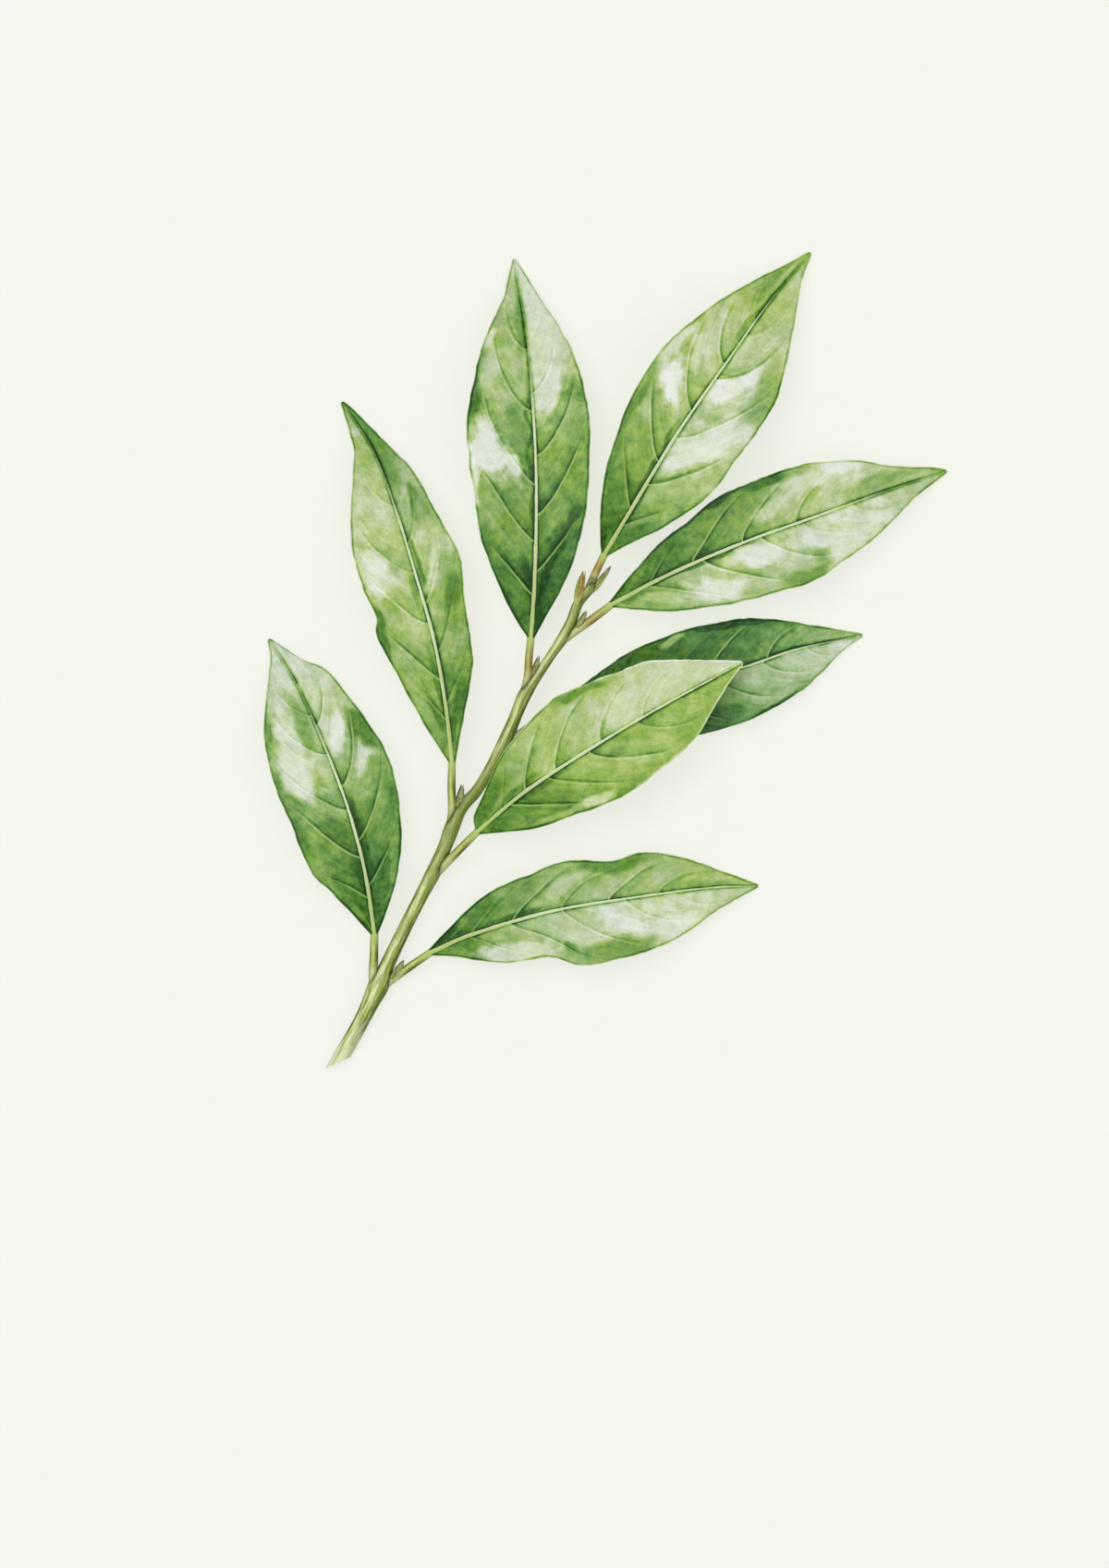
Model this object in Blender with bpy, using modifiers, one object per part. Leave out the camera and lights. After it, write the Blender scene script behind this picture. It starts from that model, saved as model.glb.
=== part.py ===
"""Bay leaf branch (Laurus nobilis): one cut woody stem with alternate leaves and small buds, lying down.

The frame is +Z up. z = 0 is the surface that the branch lies on, +Y runs from the cut end to the
growing tip, and the origin is under the middle of the branch. The tables are in millimetres, and
MM turns them into metres. The cut end and the outer leaf tips touch the surface, and the stem and
the blades arch over it in between.
"""

import math

import bmesh
import bpy
import numpy as np
from mathutils import Matrix, Vector

MM = 0.001

# Driving dimensions, in millimetres.
BLADE_EDGE = 0.5          # thickness of a blade at its margin
BLADE_RIB = 1.1           # thickness of a blade along its midrib
RIB_WIDTH = 0.22          # share of the half blade that the thick midrib takes
BASE_HALF_WIDTH = 0.9     # where the blade leaves the petiole
TIP_HALF_WIDTH = 0.35     # at the very tip
SWELL_POWER = 0.6         # how fast the folds and ripples grow from the base and die at the tip
FOLD_POWER = 1.4          # how the blade's cross-section rises from its midrib, 1 being straight
RIPPLE_LAG = 0.37         # turns by which the two margins' ripples are out of step
PETIOLE_SINK = 0.55       # how far the petiole's line runs under the blade's upper face
PETIOLE_FADE = ((0.05, 0.7), (0.12, 0.35))   # share of the blade and radius where it thins out
BUD_TAPER = 0.5           # share of a bud's girth that is lost from foot to tip
CLEARANCE = 0.3           # between a piece and what it grows from
CUT_CENTRE = (-63.9, -95.9)
CUT_SLANT = math.radians(23.5)   # the pruning cut's face, measured from +X
KNIFE_SIZE = 30.0

# How finely things are divided.
BLADE_STEPS_ALONG = 18
BLADE_STEPS_ACROSS = 8
STEM_STEPS = 44
PETIOLE_STEPS = 14
TUBE_SIDES = 10
BUD_SIDES = 12
BUD_RINGS = 10
CURVE_SAMPLES = 24        # points per stretch when a smooth line is measured
ARCH_SAMPLES = 200
ARCH_STRETCH = 100.0      # shares of the arch in millimetres, so that its line is measured along the leaf
END_SHARE = 0.02          # length of midrib that gives the direction of each end
WELD_DISTANCE = 0.01

# The stem's centre line from below the cut to the tip: x, y, z, radius. It swells at each node.
STEM = (
    (-68.4, -104.0, 1.9, 2.0),
    (-64.1, -96.5, 1.9, 2.0),
    (-58.5, -86.6, 2.6, 1.9),
    (-53.8, -77.0, 3.4, 2.1),
    (-51.8, -72.2, 3.9, 1.75),
    (-47.2, -62.7, 4.8, 1.6),
    (-41.8, -52.0, 5.8, 1.6),
    (-37.9, -43.8, 6.5, 1.65),
    (-34.6, -35.6, 7.2, 1.6),
    (-30.6, -31.0, 7.5, 1.4),
    (-27.0, -25.0, 8.0, 1.35),
    (-23.2, -17.5, 8.5, 1.5),
    (-18.6, -7.4, 9.1, 1.4),
    (-13.2, 0.8, 9.6, 1.1),
    (-8.6, 8.2, 10.1, 1.3),
    (-6.5, 13.6, 10.5, 1.2),
    (-3.9, 17.0, 10.9, 1.0),
    (-2.9, 19.3, 11.2, 0.95),
)

# Each leaf, in the order that they leave the stem. petiole: x, y, z, radius, from inside the stem to
# the blade. rib: x, y along the midrib. left and right: x, y along each margin, seen by someone who
# looks from the base to the tip. arch: share of the length and height of the midrib there. fold: how
# far the left and right margins stand above the midrib. wave: height, number and start of the ripples.
LEAVES = {
    "leaf_lower_left": {
        "petiole": ((-54.9, -79.2, 3.2, 1.2), (-55.3, -74.6, 3.8, 1.1), (-55.1, -70.0, 4.8, 0.95),
                    (-55.0, -65.0, 6.0, 0.9)),
        "rib": ((-55.0, -65.0), (-57.3, -50.0), (-61.3, -35.0), (-67.0, -20.0), (-73.5, -5.8),
                (-80.2, 5.2)),
        "left": ((-60.6, -60.0), (-65.4, -55.0), (-70.2, -50.0), (-74.3, -40.0), (-78.7, -30.0),
                 (-81.0, -20.0), (-80.9, -10.0), (-79.9, 0.0)),
        "right": ((-52.2, -60.0), (-49.3, -50.0), (-48.6, -40.0), (-49.7, -30.0), (-53.0, -20.0),
                  (-60.0, -10.0), (-65.9, -2.5), (-71.2, 0.0), (-75.5, 2.6)),
        "arch": ((0.0, 6.5), (0.3, 9.8), (0.55, 9.0), (0.8, 4.2), (0.93, 1.2), (1.0, 0.5)),
        "fold": (3.2, 3.6), "wave": (0.9, 2.2, 0.4),
    },
    "leaf_lower_right": {
        "petiole": ((-54.6, -78.6, 3.2, 1.2), (-51.2, -76.2, 3.8, 1.05), (-46.4, -72.8, 4.8, 0.9),
                    (-41.4, -69.4, 6.0, 0.85)),
        "rib": ((-41.4, -69.4), (-31.4, -65.1), (-12.9, -59.7), (5.6, -56.6), (24.2, -54.2),
                (36.5, -53.7)),
        "left": ((-37.6, -64.2), (-28.3, -55.8), (-16.6, -50.3), (-9.5, -47.6), (1.3, -47.8),
                 (9.5, -45.6), (18.6, -46.9), (29.1, -50.6)),
        "right": ((-34.5, -70.6), (-24.0, -72.2), (-14.0, -70.6), (-5.5, -72.4), (4.4, -70.8),
                  (16.7, -66.3), (26.0, -60.1), (32.0, -56.5)),
        "arch": ((0.0, 6.5), (0.3, 9.2), (0.55, 8.0), (0.8, 3.8), (0.93, 1.1), (1.0, 0.5)),
        "fold": (2.8, 3.4), "wave": (1.5, 2.6, 0.1),
    },
    "leaf_middle_right": {
        "petiole": ((-42.0, -52.4, 5.8, 1.1), (-38.5, -48.8, 6.7, 1.05), (-34.9, -45.2, 8.2, 0.9),
                    (-30.4, -40.7, 10.8, 0.85)),
        "rib": ((-30.4, -40.7), (-20.0, -31.9), (-8.8, -24.3), (3.0, -17.0), (14.9, -10.1),
                (32.7, -0.5)),
        "left": ((-31.3, -37.1), (-29.5, -33.0), (-27.2, -27.8), (-24.7, -22.4), (-21.4, -18.2),
                 (-13.9, -10.5), (-9.0, -7.5), (1.1, -3.5), (10.3, -0.3), (22.2, 0.1), (29.0, 0.0)),
        "right": ((-26.0, -41.0), (-16.1, -39.8), (-6.2, -36.4), (3.7, -32.5), (12.9, -25.9),
                  (21.5, -18.3), (26.8, -9.4), (30.4, -4.0)),
        "arch": ((0.0, 11.3), (0.25, 15.5), (0.5, 17.0), (0.75, 15.5), (1.0, 12.5)),
        "fold": (3.4, 3.0), "wave": (0.8, 2.0, 0.7),
    },
    "leaf_middle_left": {
        "petiole": ((-37.3, -42.4, 6.6, 1.1), (-36.5, -36.0, 7.4, 1.0), (-36.6, -30.0, 8.8, 0.9),
                    (-36.5, -24.0, 10.4, 0.85)),
        "rib": ((-36.5, -24.0), (-38.1, -10.0), (-40.8, 5.0), (-45.0, 20.0), (-49.6, 35.0),
                (-55.2, 50.0), (-62.8, 61.7)),
        "left": ((-43.2, -15.0), (-48.6, -5.0), (-54.0, 5.0), (-54.8, 11.0), (-58.7, 20.0),
                 (-60.6, 30.0), (-60.4, 40.0), (-60.0, 50.0), (-62.2, 58.5)),
        "right": ((-34.0, -15.0), (-32.0, -5.0), (-31.6, 2.0), (-33.5, 15.0), (-34.6, 25.0),
                  (-40.0, 35.0), (-45.3, 44.5), (-50.2, 50.0), (-55.2, 55.0), (-59.8, 59.7)),
        "arch": ((0.0, 10.9), (0.25, 13.2), (0.5, 12.2), (0.78, 5.8), (0.93, 1.4), (1.0, 0.5)),
        "fold": (3.0, 3.4), "wave": (1.2, 2.4, 0.9),
    },
    "leaf_back_right": {
        "petiole": ((-24.7, -20.2, 8.3, 1.0), (-20.3, -17.4, 8.2, 0.95), (-17.0, -15.2, 8.0, 0.9),
                    (-13.5, -13.0, 7.6, 0.85)),
        "rib": ((-13.5, -13.0), (0.0, -9.5), (15.0, -6.0), (33.0, -1.5), (45.9, 2.8), (61.4, 6.1)),
        "left": ((-8.8, -8.8), (-4.2, -5.0), (5.0, 1.5), (15.6, 6.1), (24.8, 8.7), (35.4, 10.1),
                 (45.9, 9.0), (55.8, 7.4)),
        "right": ((-8.0, -16.5), (2.0, -18.5), (13.0, -18.6), (22.2, -17.7), (31.4, -15.2),
                  (40.6, -11.1), (49.2, -5.2), (56.5, 2.1)),
        "arch": ((0.0, 8.1), (0.25, 7.6), (0.5, 6.0), (0.78, 2.8), (0.93, 0.9), (1.0, 0.5)),
        "fold": (2.4, 2.4), "wave": (0.6, 2.0, 0.3),
    },
    "leaf_upper_left": {
        "petiole": ((-19.9, -10.0, 8.9, 1.05), (-18.6, -4.4, 9.5, 0.95), (-18.2, 0.5, 10.8, 0.85),
                    (-17.7, 5.6, 12.2, 0.85)),
        "rib": ((-17.7, 5.6), (-16.8, 20.0), (-16.4, 38.0), (-16.9, 55.0), (-18.6, 75.0),
                (-21.7, 95.8)),
        "left": ((-21.4, 10.0), (-26.4, 20.0), (-29.7, 30.0), (-31.3, 40.0), (-33.1, 55.0),
                 (-31.5, 65.0), (-29.2, 75.0), (-24.9, 85.0), (-23.3, 91.0)),
        "right": ((-14.4, 10.0), (-9.2, 20.0), (-5.8, 30.0), (-4.2, 40.0), (-3.7, 55.0),
                  (-5.1, 65.0), (-8.5, 75.0), (-14.3, 85.0), (-17.9, 90.5)),
        "arch": ((0.0, 12.7), (0.25, 15.2), (0.5, 13.8), (0.78, 6.6), (0.93, 1.5), (1.0, 0.5)),
        "fold": (3.4, 3.2), "wave": (0.9, 2.2, 0.2),
    },
    "leaf_upper_right": {
        "petiole": ((-11.0, 4.2, 9.85, 1.0), (-6.4, 7.5, 10.3, 1.0), (-2.2, 10.5, 11.1, 0.9),
                    (1.6, 13.4, 12.2, 0.85)),
        "rib": ((1.6, 13.4), (15.7, 20.7), (33.0, 28.1), (49.6, 34.1), (68.2, 40.9), (81.4, 45.2)),
        "left": ((6.4, 20.8), (13.2, 28.0), (20.6, 33.7), (25.5, 38.0), (31.1, 40.8), (45.3, 46.1),
                 (57.6, 47.8), (69.0, 46.3), (77.5, 46.1)),
        "right": ((8.0, 12.0), (18.8, 11.9), (31.0, 13.6), (41.0, 16.3), (49.0, 18.5), (57.0, 23.9),
                  (65.7, 30.4), (73.1, 38.1)),
        "arch": ((0.0, 12.7), (0.25, 14.0), (0.5, 12.2), (0.78, 5.8), (0.93, 1.4), (1.0, 0.5)),
        "fold": (2.8, 3.2), "wave": (1.0, 2.2, 0.6),
    },
    "leaf_terminal": {
        "petiole": ((-4.2, 16.6, 10.85, 0.95), (-2.7, 20.0, 11.4, 0.95), (-1.5, 22.6, 12.4, 0.85),
                    (-0.2, 25.3, 13.4, 0.85)),
        "rib": ((-0.2, 25.3), (5.6, 35.0), (11.6, 45.0), (17.8, 55.0), (28.2, 70.0), (38.8, 85.0),
                (48.9, 97.3)),
        "left": ((-1.2, 28.5), (-1.1, 35.0), (0.1, 45.0), (5.1, 60.0), (10.5, 70.0), (16.0, 76.7),
                 (25.0, 84.1), (35.0, 90.4), (42.5, 94.2)),
        "right": ((5.0, 27.3), (12.6, 31.0), (20.1, 35.7), (25.8, 40.4), (32.8, 50.0), (39.8, 60.0),
                  (43.0, 70.0), (44.9, 80.0), (46.8, 90.0)),
        "arch": ((0.0, 13.9), (0.25, 17.2), (0.5, 15.4), (0.78, 7.2), (0.93, 1.6), (1.0, 0.5)),
        "fold": (3.2, 3.4), "wave": (0.9, 2.2, 0.5),
    },
}

# Each bud: foot and tip x, y, z, its radius, and the leaf in whose angle it sits.
BUDS = {
    "bud_lower_right": ((-51.0, -75.8, 4.7), (-47.7, -71.3, 6.4), 0.85, "leaf_lower_right"),
    "bud_middle_left": ((-35.3, -36.0, 8.2), (-33.8, -29.3, 10.0), 1.1, "leaf_middle_left"),
    "bud_upper_left": ((-17.7, -4.2, 10.2), (-15.5, 1.3, 11.9), 0.8, "leaf_upper_left"),
    "bud_upper_right": ((-6.7, 7.9, 11.2), (-4.2, 11.9, 12.5), 0.8, "leaf_upper_right"),
    "bud_side_shoot": ((-7.0, 12.8, 10.9), (-5.2, 21.7, 12.4), 1.1, "leaf_terminal"),
    "bud_tip_right": ((-3.1, 16.3, 10.8), (1.6, 22.6, 11.5), 0.9, "leaf_terminal"),
}

# Material colours (linear RGB) and roughness.
LEAF_GREEN = ((0.16, 0.34, 0.06), 0.35)
STEM_GREEN = ((0.30, 0.36, 0.10), 0.6)
BUD_OLIVE = ((0.30, 0.30, 0.12), 0.65)
BUD_BROWN = ((0.38, 0.22, 0.05), 0.65)


def new_collection(name):
    collection = bpy.data.collections.new(name)
    bpy.context.scene.collection.children.link(collection)
    return collection


def smooth_line(points, shares):
    """Rows at the given shares of the length of a smooth line through hand-placed points."""
    points = [Vector(p) for p in points]
    points = [2 * points[0] - points[1]] + points + [2 * points[-1] - points[-2]]
    dense = [points[1]]
    for a, b, c, d in zip(points, points[1:], points[2:], points[3:]):
        for step in range(1, CURVE_SAMPLES + 1):
            t = step / CURVE_SAMPLES
            cubic = (c - a) * t + (2 * a - 5 * b + 4 * c - d) * t**2 + (3 * b - a - 3 * c + d) * t**3
            dense.append(b + 0.5 * cubic)
    dense = np.array([tuple(p) for p in dense])
    lengths = np.linalg.norm(np.diff(dense, axis=0), axis=1).cumsum()
    lengths = np.concatenate(([0.0], lengths)) / lengths[-1]
    return np.column_stack([np.interp(shares, lengths, column) for column in dense.T])


def rib_height(leaf, s):
    """Height of the midrib's upper face at share s of its length, smooth through the arch."""
    rows = [(ARCH_STRETCH * share, height) for share, height in leaf["arch"]]
    dense = smooth_line(rows, np.linspace(0.0, 1.0, ARCH_SAMPLES))
    return float(np.interp(ARCH_STRETCH * s, dense[:, 0], dense[:, 1]))


def blade_point(leaf, s, v):
    """The blade's upper face at share s from base to tip, and v from -1 (right) to 1 (left)."""
    rib = smooth_line(leaf["rib"], [0.0, END_SHARE, s, 1.0 - END_SHARE, 1.0])
    base_side, tip_side = (Vector((-(b - a)[1], (b - a)[0])).normalized()
                           for a, b in ((rib[0], rib[1]), (rib[3], rib[4])))
    side = "left" if v > 0 else "right"
    sign = 1.0 if v > 0 else -1.0
    base = Vector(rib[0]) + sign * BASE_HALF_WIDTH * base_side
    tip = Vector(rib[4]) + sign * TIP_HALF_WIDTH * tip_side
    margin = smooth_line([base, *leaf[side], tip], [s])[0]
    flat = rib[2] + abs(v) * (margin - rib[2])
    swell = math.sin(math.pi * s) ** SWELL_POWER if 0.0 < s < 1.0 else 0.0
    fold = leaf["fold"][0 if v > 0 else 1] * abs(v) ** FOLD_POWER
    height, number, start = leaf["wave"]
    ripple = height * v * v * math.sin(2 * math.pi * (number * s + start + RIPPLE_LAG * sign))
    return Vector((*flat, rib_height(leaf, s) + swell * (fold + ripple)))


def finish_mesh(name, bm, collection, material=None):
    """Turns a bmesh in millimetres into a named object in metres."""
    bmesh.ops.transform(bm, matrix=Matrix.Scale(MM, 4), verts=bm.verts)
    mesh = bpy.data.meshes.new(name)
    bm.to_mesh(mesh)
    bm.free()
    mesh.shade_smooth()
    obj = bpy.data.objects.new(name, mesh)
    collection.objects.link(obj)
    if material:
        mesh.materials.append(material)
    return obj


def tube(name, rows, collection, steps, extra=0.0, material=None):
    """A round tube with filled ends along rows of x, y, z, radius, made a welded mesh."""
    rows = smooth_line(rows, np.linspace(0.0, 1.0, steps))
    curve = bpy.data.curves.new(name, "CURVE")
    curve.dimensions = "3D"
    curve.bevel_depth = MM
    curve.bevel_resolution = (TUBE_SIDES - 4) // 2
    curve.use_fill_caps = True
    spline = curve.splines.new("POLY")
    spline.points.add(len(rows) - 1)
    for point, (x, y, z, radius) in zip(spline.points, rows):
        point.co = (x * MM, y * MM, z * MM, 1.0)
        point.radius = radius + extra
    guide = bpy.data.objects.new(name + "_line", curve)
    collection.objects.link(guide)
    bpy.context.view_layer.update()
    evaluated = guide.evaluated_get(bpy.context.evaluated_depsgraph_get())
    mesh = bpy.data.meshes.new_from_object(evaluated)
    mesh.name = name
    bm = bmesh.new()
    bm.from_mesh(mesh)
    bmesh.ops.remove_doubles(bm, verts=bm.verts, dist=WELD_DISTANCE * MM)
    bm.to_mesh(mesh)
    bm.free()
    mesh.shade_smooth()
    obj = bpy.data.objects.new(name, mesh)
    obj.matrix_world = guide.matrix_world.copy()
    collection.objects.link(obj)
    bpy.data.objects.remove(guide)
    bpy.data.curves.remove(curve)
    if material:
        mesh.materials.append(material)
    return obj


def as_cutter(obj):
    obj.hide_render = True
    obj.display_type = "WIRE"
    return obj


def boolean(obj, other, operation):
    modifier = obj.modifiers.new(f"{operation.lower()}_{other.name}", "BOOLEAN")
    modifier.operation = operation
    modifier.object = other
    modifier.solver = "EXACT"


def principled(name, finish):
    colour, roughness = finish
    material = bpy.data.materials.new(name)
    material.use_nodes = True
    shader = material.node_tree.nodes["Principled BSDF"]
    shader.inputs["Base Color"].default_value = (*colour, 1.0)
    shader.inputs["Roughness"].default_value = roughness
    shader.inputs["Metallic"].default_value = 0.0
    return material


def make_stem(parts, cutters):
    """The stem, with its slanted pruning cut."""
    stem = tube("stem", STEM, parts, STEM_STEPS, material=principled("stem_green", STEM_GREEN))
    size = KNIFE_SIZE * MM
    away = Vector((math.sin(CUT_SLANT), -math.cos(CUT_SLANT), 0.0))
    centre = Vector((*CUT_CENTRE, STEM[1][2])) * MM + away * size / 2
    bpy.ops.mesh.primitive_cube_add(size=size, location=centre, rotation=(0.0, 0.0, CUT_SLANT))
    knife = as_cutter(bpy.context.object)
    knife.name = "pruning_cut"
    for owner in list(knife.users_collection):
        owner.objects.unlink(knife)
    cutters.objects.link(knife)
    boolean(stem, knife, "DIFFERENCE")
    return stem


def petiole_rows(leaf):
    """The petiole's own points, then the first of the midrib, where it thins out inside the blade."""
    rows = [Vector(row) for row in leaf["petiole"]]
    for s, radius in PETIOLE_FADE:
        x, y, z = blade_point(leaf, s, 0.0)
        rows.append(Vector((x, y, z - PETIOLE_SINK, radius)))
    return rows


def make_leaf(name, leaf, parts, cutters, stem_clearance):
    """One leaf: a folded, rippled blade, thick along its midrib, joined to its round petiole."""
    bm = bmesh.new()
    bmesh.ops.create_grid(bm, x_segments=BLADE_STEPS_ALONG, y_segments=BLADE_STEPS_ACROSS, size=0.5)
    thick = bm.verts.layers.deform.verify()
    for vert in bm.verts:
        s = vert.co.x + 0.5
        v = 2.0 * vert.co.y
        vert[thick][0] = max(0.0, 1.0 - abs(v) / RIB_WIDTH) * (1.0 - s)
        vert.co = blade_point(leaf, s, v)
    blade = finish_mesh(name, bm, parts, principled(name + "_green", LEAF_GREEN))
    blade.vertex_groups.new(name="midrib")
    solid = blade.modifiers.new("thickness", "SOLIDIFY")
    solid.thickness = BLADE_RIB * MM
    solid.offset = -1.0
    solid.vertex_group = "midrib"
    solid.thickness_vertex_group = BLADE_EDGE / BLADE_RIB
    petiole = as_cutter(tube(name + "_petiole", petiole_rows(leaf), cutters, PETIOLE_STEPS))
    boolean(blade, petiole, "UNION")
    boolean(blade, stem_clearance, "DIFFERENCE")
    return blade


def make_bud(name, bud, parts, cutters, stem_clearance):
    """A small pointed bud, cut clear of the stem and of the petiole beside it."""
    foot, tip, radius, leaf_name = bud
    foot, tip = Vector(foot), Vector(tip)
    axis = tip - foot
    bm = bmesh.new()
    bmesh.ops.create_uvsphere(bm, u_segments=BUD_SIDES, v_segments=BUD_RINGS, radius=1.0)
    for vert in bm.verts:
        along = (vert.co.z + 1.0) / 2.0
        girth = radius * (1.0 - BUD_TAPER * along)
        vert.co = Vector((vert.co.x * girth, vert.co.y * girth, along * axis.length))
    turn = axis.to_track_quat("Z", "Y").to_matrix().to_4x4()
    bmesh.ops.transform(bm, matrix=Matrix.Translation(foot) @ turn, verts=bm.verts)
    finish = BUD_BROWN if name == "bud_side_shoot" else BUD_OLIVE
    obj = finish_mesh(name, bm, parts, principled(name + "_scale", finish))
    boolean(obj, stem_clearance, "DIFFERENCE")
    rows = petiole_rows(LEAVES[leaf_name])
    petiole = tube(name + "_petiole_clearance", rows, cutters, PETIOLE_STEPS, extra=CLEARANCE)
    as_cutter(petiole)
    boolean(obj, petiole, "DIFFERENCE")
    return obj


def main():
    for obj in list(bpy.data.objects):
        bpy.data.objects.remove(obj)
    parts = new_collection("bay_leaf_branch")
    cutters = new_collection("cutters")
    make_stem(parts, cutters)
    stem_clearance = as_cutter(tube("stem_clearance", STEM, cutters, STEM_STEPS, extra=CLEARANCE))
    for name, leaf in LEAVES.items():
        make_leaf(name, leaf, parts, cutters, stem_clearance)
    for name, bud in BUDS.items():
        make_bud(name, bud, parts, cutters, stem_clearance)
    bpy.context.view_layer.update()


main()
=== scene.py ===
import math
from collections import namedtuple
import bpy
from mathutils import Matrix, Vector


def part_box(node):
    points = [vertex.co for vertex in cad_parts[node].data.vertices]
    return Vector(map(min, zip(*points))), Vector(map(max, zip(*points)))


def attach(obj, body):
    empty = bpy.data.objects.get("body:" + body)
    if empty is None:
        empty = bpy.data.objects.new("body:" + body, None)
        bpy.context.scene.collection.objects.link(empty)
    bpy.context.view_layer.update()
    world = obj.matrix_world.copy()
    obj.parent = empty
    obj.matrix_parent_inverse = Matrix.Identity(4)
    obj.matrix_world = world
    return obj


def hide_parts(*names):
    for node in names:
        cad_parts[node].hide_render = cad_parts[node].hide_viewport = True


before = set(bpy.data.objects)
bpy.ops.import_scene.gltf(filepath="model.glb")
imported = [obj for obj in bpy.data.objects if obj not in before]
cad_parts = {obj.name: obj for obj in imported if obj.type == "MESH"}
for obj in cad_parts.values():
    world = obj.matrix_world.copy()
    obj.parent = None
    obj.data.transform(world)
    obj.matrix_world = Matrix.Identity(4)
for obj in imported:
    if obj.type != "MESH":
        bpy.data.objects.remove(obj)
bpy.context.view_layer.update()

# Looks of the bay leaf branch: glossy veined leaves on their stalks, the green stem with its pruning
# cut, and the scaly buds. The tables are in millimetres, as in the CAD model, and MM turns them into
# metres. +Z is up from the surface that the branch lies on, and +Y runs towards its growing tip.

from types import SimpleNamespace

import bpy
import numpy as np
from mathutils import Vector

MM = 0.001

ROOTED = 6.0 * MM         # how far a stalk or a bud may reach past its CAD solid, into the stem

# How finely things are divided.
BLADE_ROWS = 230          # cross-sections from the base of a blade to its tip
STALK_ROWS = 34           # cross-sections of its stalk
TOP_COLUMNS = 40          # on each half of the upper face
UNDER_COLUMNS = 22        # on each half of the underside
STEM_ROWS = 560
STEM_SIDES = 52
BUD_ROWS = 30
BUD_SIDES = 20
SCALE_COLUMNS = 11        # across a bud scale
CURVE_SAMPLES = 24        # points per stretch when a smooth line is measured
LINE_SAMPLES = 200        # points along a whole line
ARCH_STRETCH = 100.0      # shares of the arch in millimetres, so that its line is measured along the leaf
END_SHARE = 0.02          # length of midrib that gives the direction of each end
CROWDING = 0.65           # how strongly columns gather at the midrib and the margin
VEIN_CROWDING = 0.5       # how strongly rows gather at the side veins

# Where stalks and buds meet the stem.
CREASE_SHADE_REACH = 0.45             # how far the painted shade in the crease around a stalk's foot reaches
FOOT_SHARE = 0.22         # share of a stalk or bud that is still inside the stem
STALK_SINK = 0.55         # depth of the stalk's line under the blade's upper face
STALK_SLOPE = math.radians(8.0)  # where its upper half meets its lower half
STALK_GROOVE = 0.16       # depth of the groove along its top, in stalk radii

# The blade's build, in millimetres.
BASE_HALF_WIDTH = 0.9
TIP_HALF_WIDTH = 0.42
TIP_ROUND = 0.5           # length over which the tip rounds off
TIP_ROWS = 12             # cross-sections in the last part of the blade, TIP_SHARE long
TIP_SHARE = 0.02
SWELL_POWER = 0.6
FOLD_POWER = 1.4
RIPPLE_LAG = 0.37
BASE_MELD = 0.07          # share of the blade over which it rises out of the stalk
SHEET = 0.36              # thickness of the blade between its veins
EDGE = 0.16               # thickness at the margin
EDGE_ROUND = 0.4 * EDGE   # how far the rounded margin stands out
VEIN_CURVE = 1.5          # how much the side veins bend towards the tip
QUILT = 0.42              # how far the blade bulges between two side veins
VEIN_RIDGE = 0.07         # height of a side vein on the upper face
VEIN_FURROW = 0.10        # depth of the dip that it lies in
UNDER_VEIN = 0.20         # height of a side vein on the underside
VEIN_HALF_WIDTH = 0.3
CRINKLE = 0.30            # height of the ripples right at the margin, one for each side vein
EDGE_ROLL = 0.22          # how far the margin rolls down
UNEVEN = ((6.0, 0.22), (2.2, 0.08))      # size and height of the hills on the blade
MARGIN_WOBBLE = ((3.4, 0.16), (1.3, 0.08))       # length and height of the waves that its margin makes
RIB_HALF_WIDTH = (0.55, 0.14)    # of the midrib's ridge, at the base and at the tip
RIB_RIDGE = (0.30, 0.05)         # its height over the blade
RIB_TROUGH = 0.16                # depth of the hollow on each side of it, at the base
KEEL_HALF_WIDTH = (0.85, 0.2)    # of the midrib under the blade
KEEL_DEPTH = (0.75, 0.12)

# The blade's colouring. A tone runs from 0 (deepest green) to 1 (almost white).
TYPICAL_REACH = 0.22      # of the side veins, as the washes follow them
WASH_BEND = 0.62          # share of the half width up to which they do so; then they run straight out
CELL_SHADE = 0.19         # how much darker the blade is just past a side vein than before the next
DRIFT = 0.10              # how much the tone wanders
AXIL_SHADE = 0.10         # how much darker it is where a side vein leaves the midrib
OUTLINE = 0.36            # how much darker it is just inside the margin
PALE_FROM = 0.55          # the tone from which a wash counts as pale
VEIN_TONE = 0.67          # of the side veins at least
RIB_STRIPE = (0.46, 0.10)        # half width of the pale midrib, at the base and at the tip
RIB_CREASE = 0.16         # how much darker the midrib is beyond its pale part

# The cut face in rings from its middle: share of the rim, and how far it stands out. Then the bark
# between the cut and the first whole ring of the stem.
CUT_RINGS = ((0.02, -0.16), (0.16, -0.15), (0.22, -0.03), (0.5, 0.02), (0.84, 0.0), (0.88, -0.07),
             (0.93, -0.02), (0.985, 0.01))
SLEEVE_RINGS = (0.0, 0.04, 0.25, 0.5, 0.75)

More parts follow.
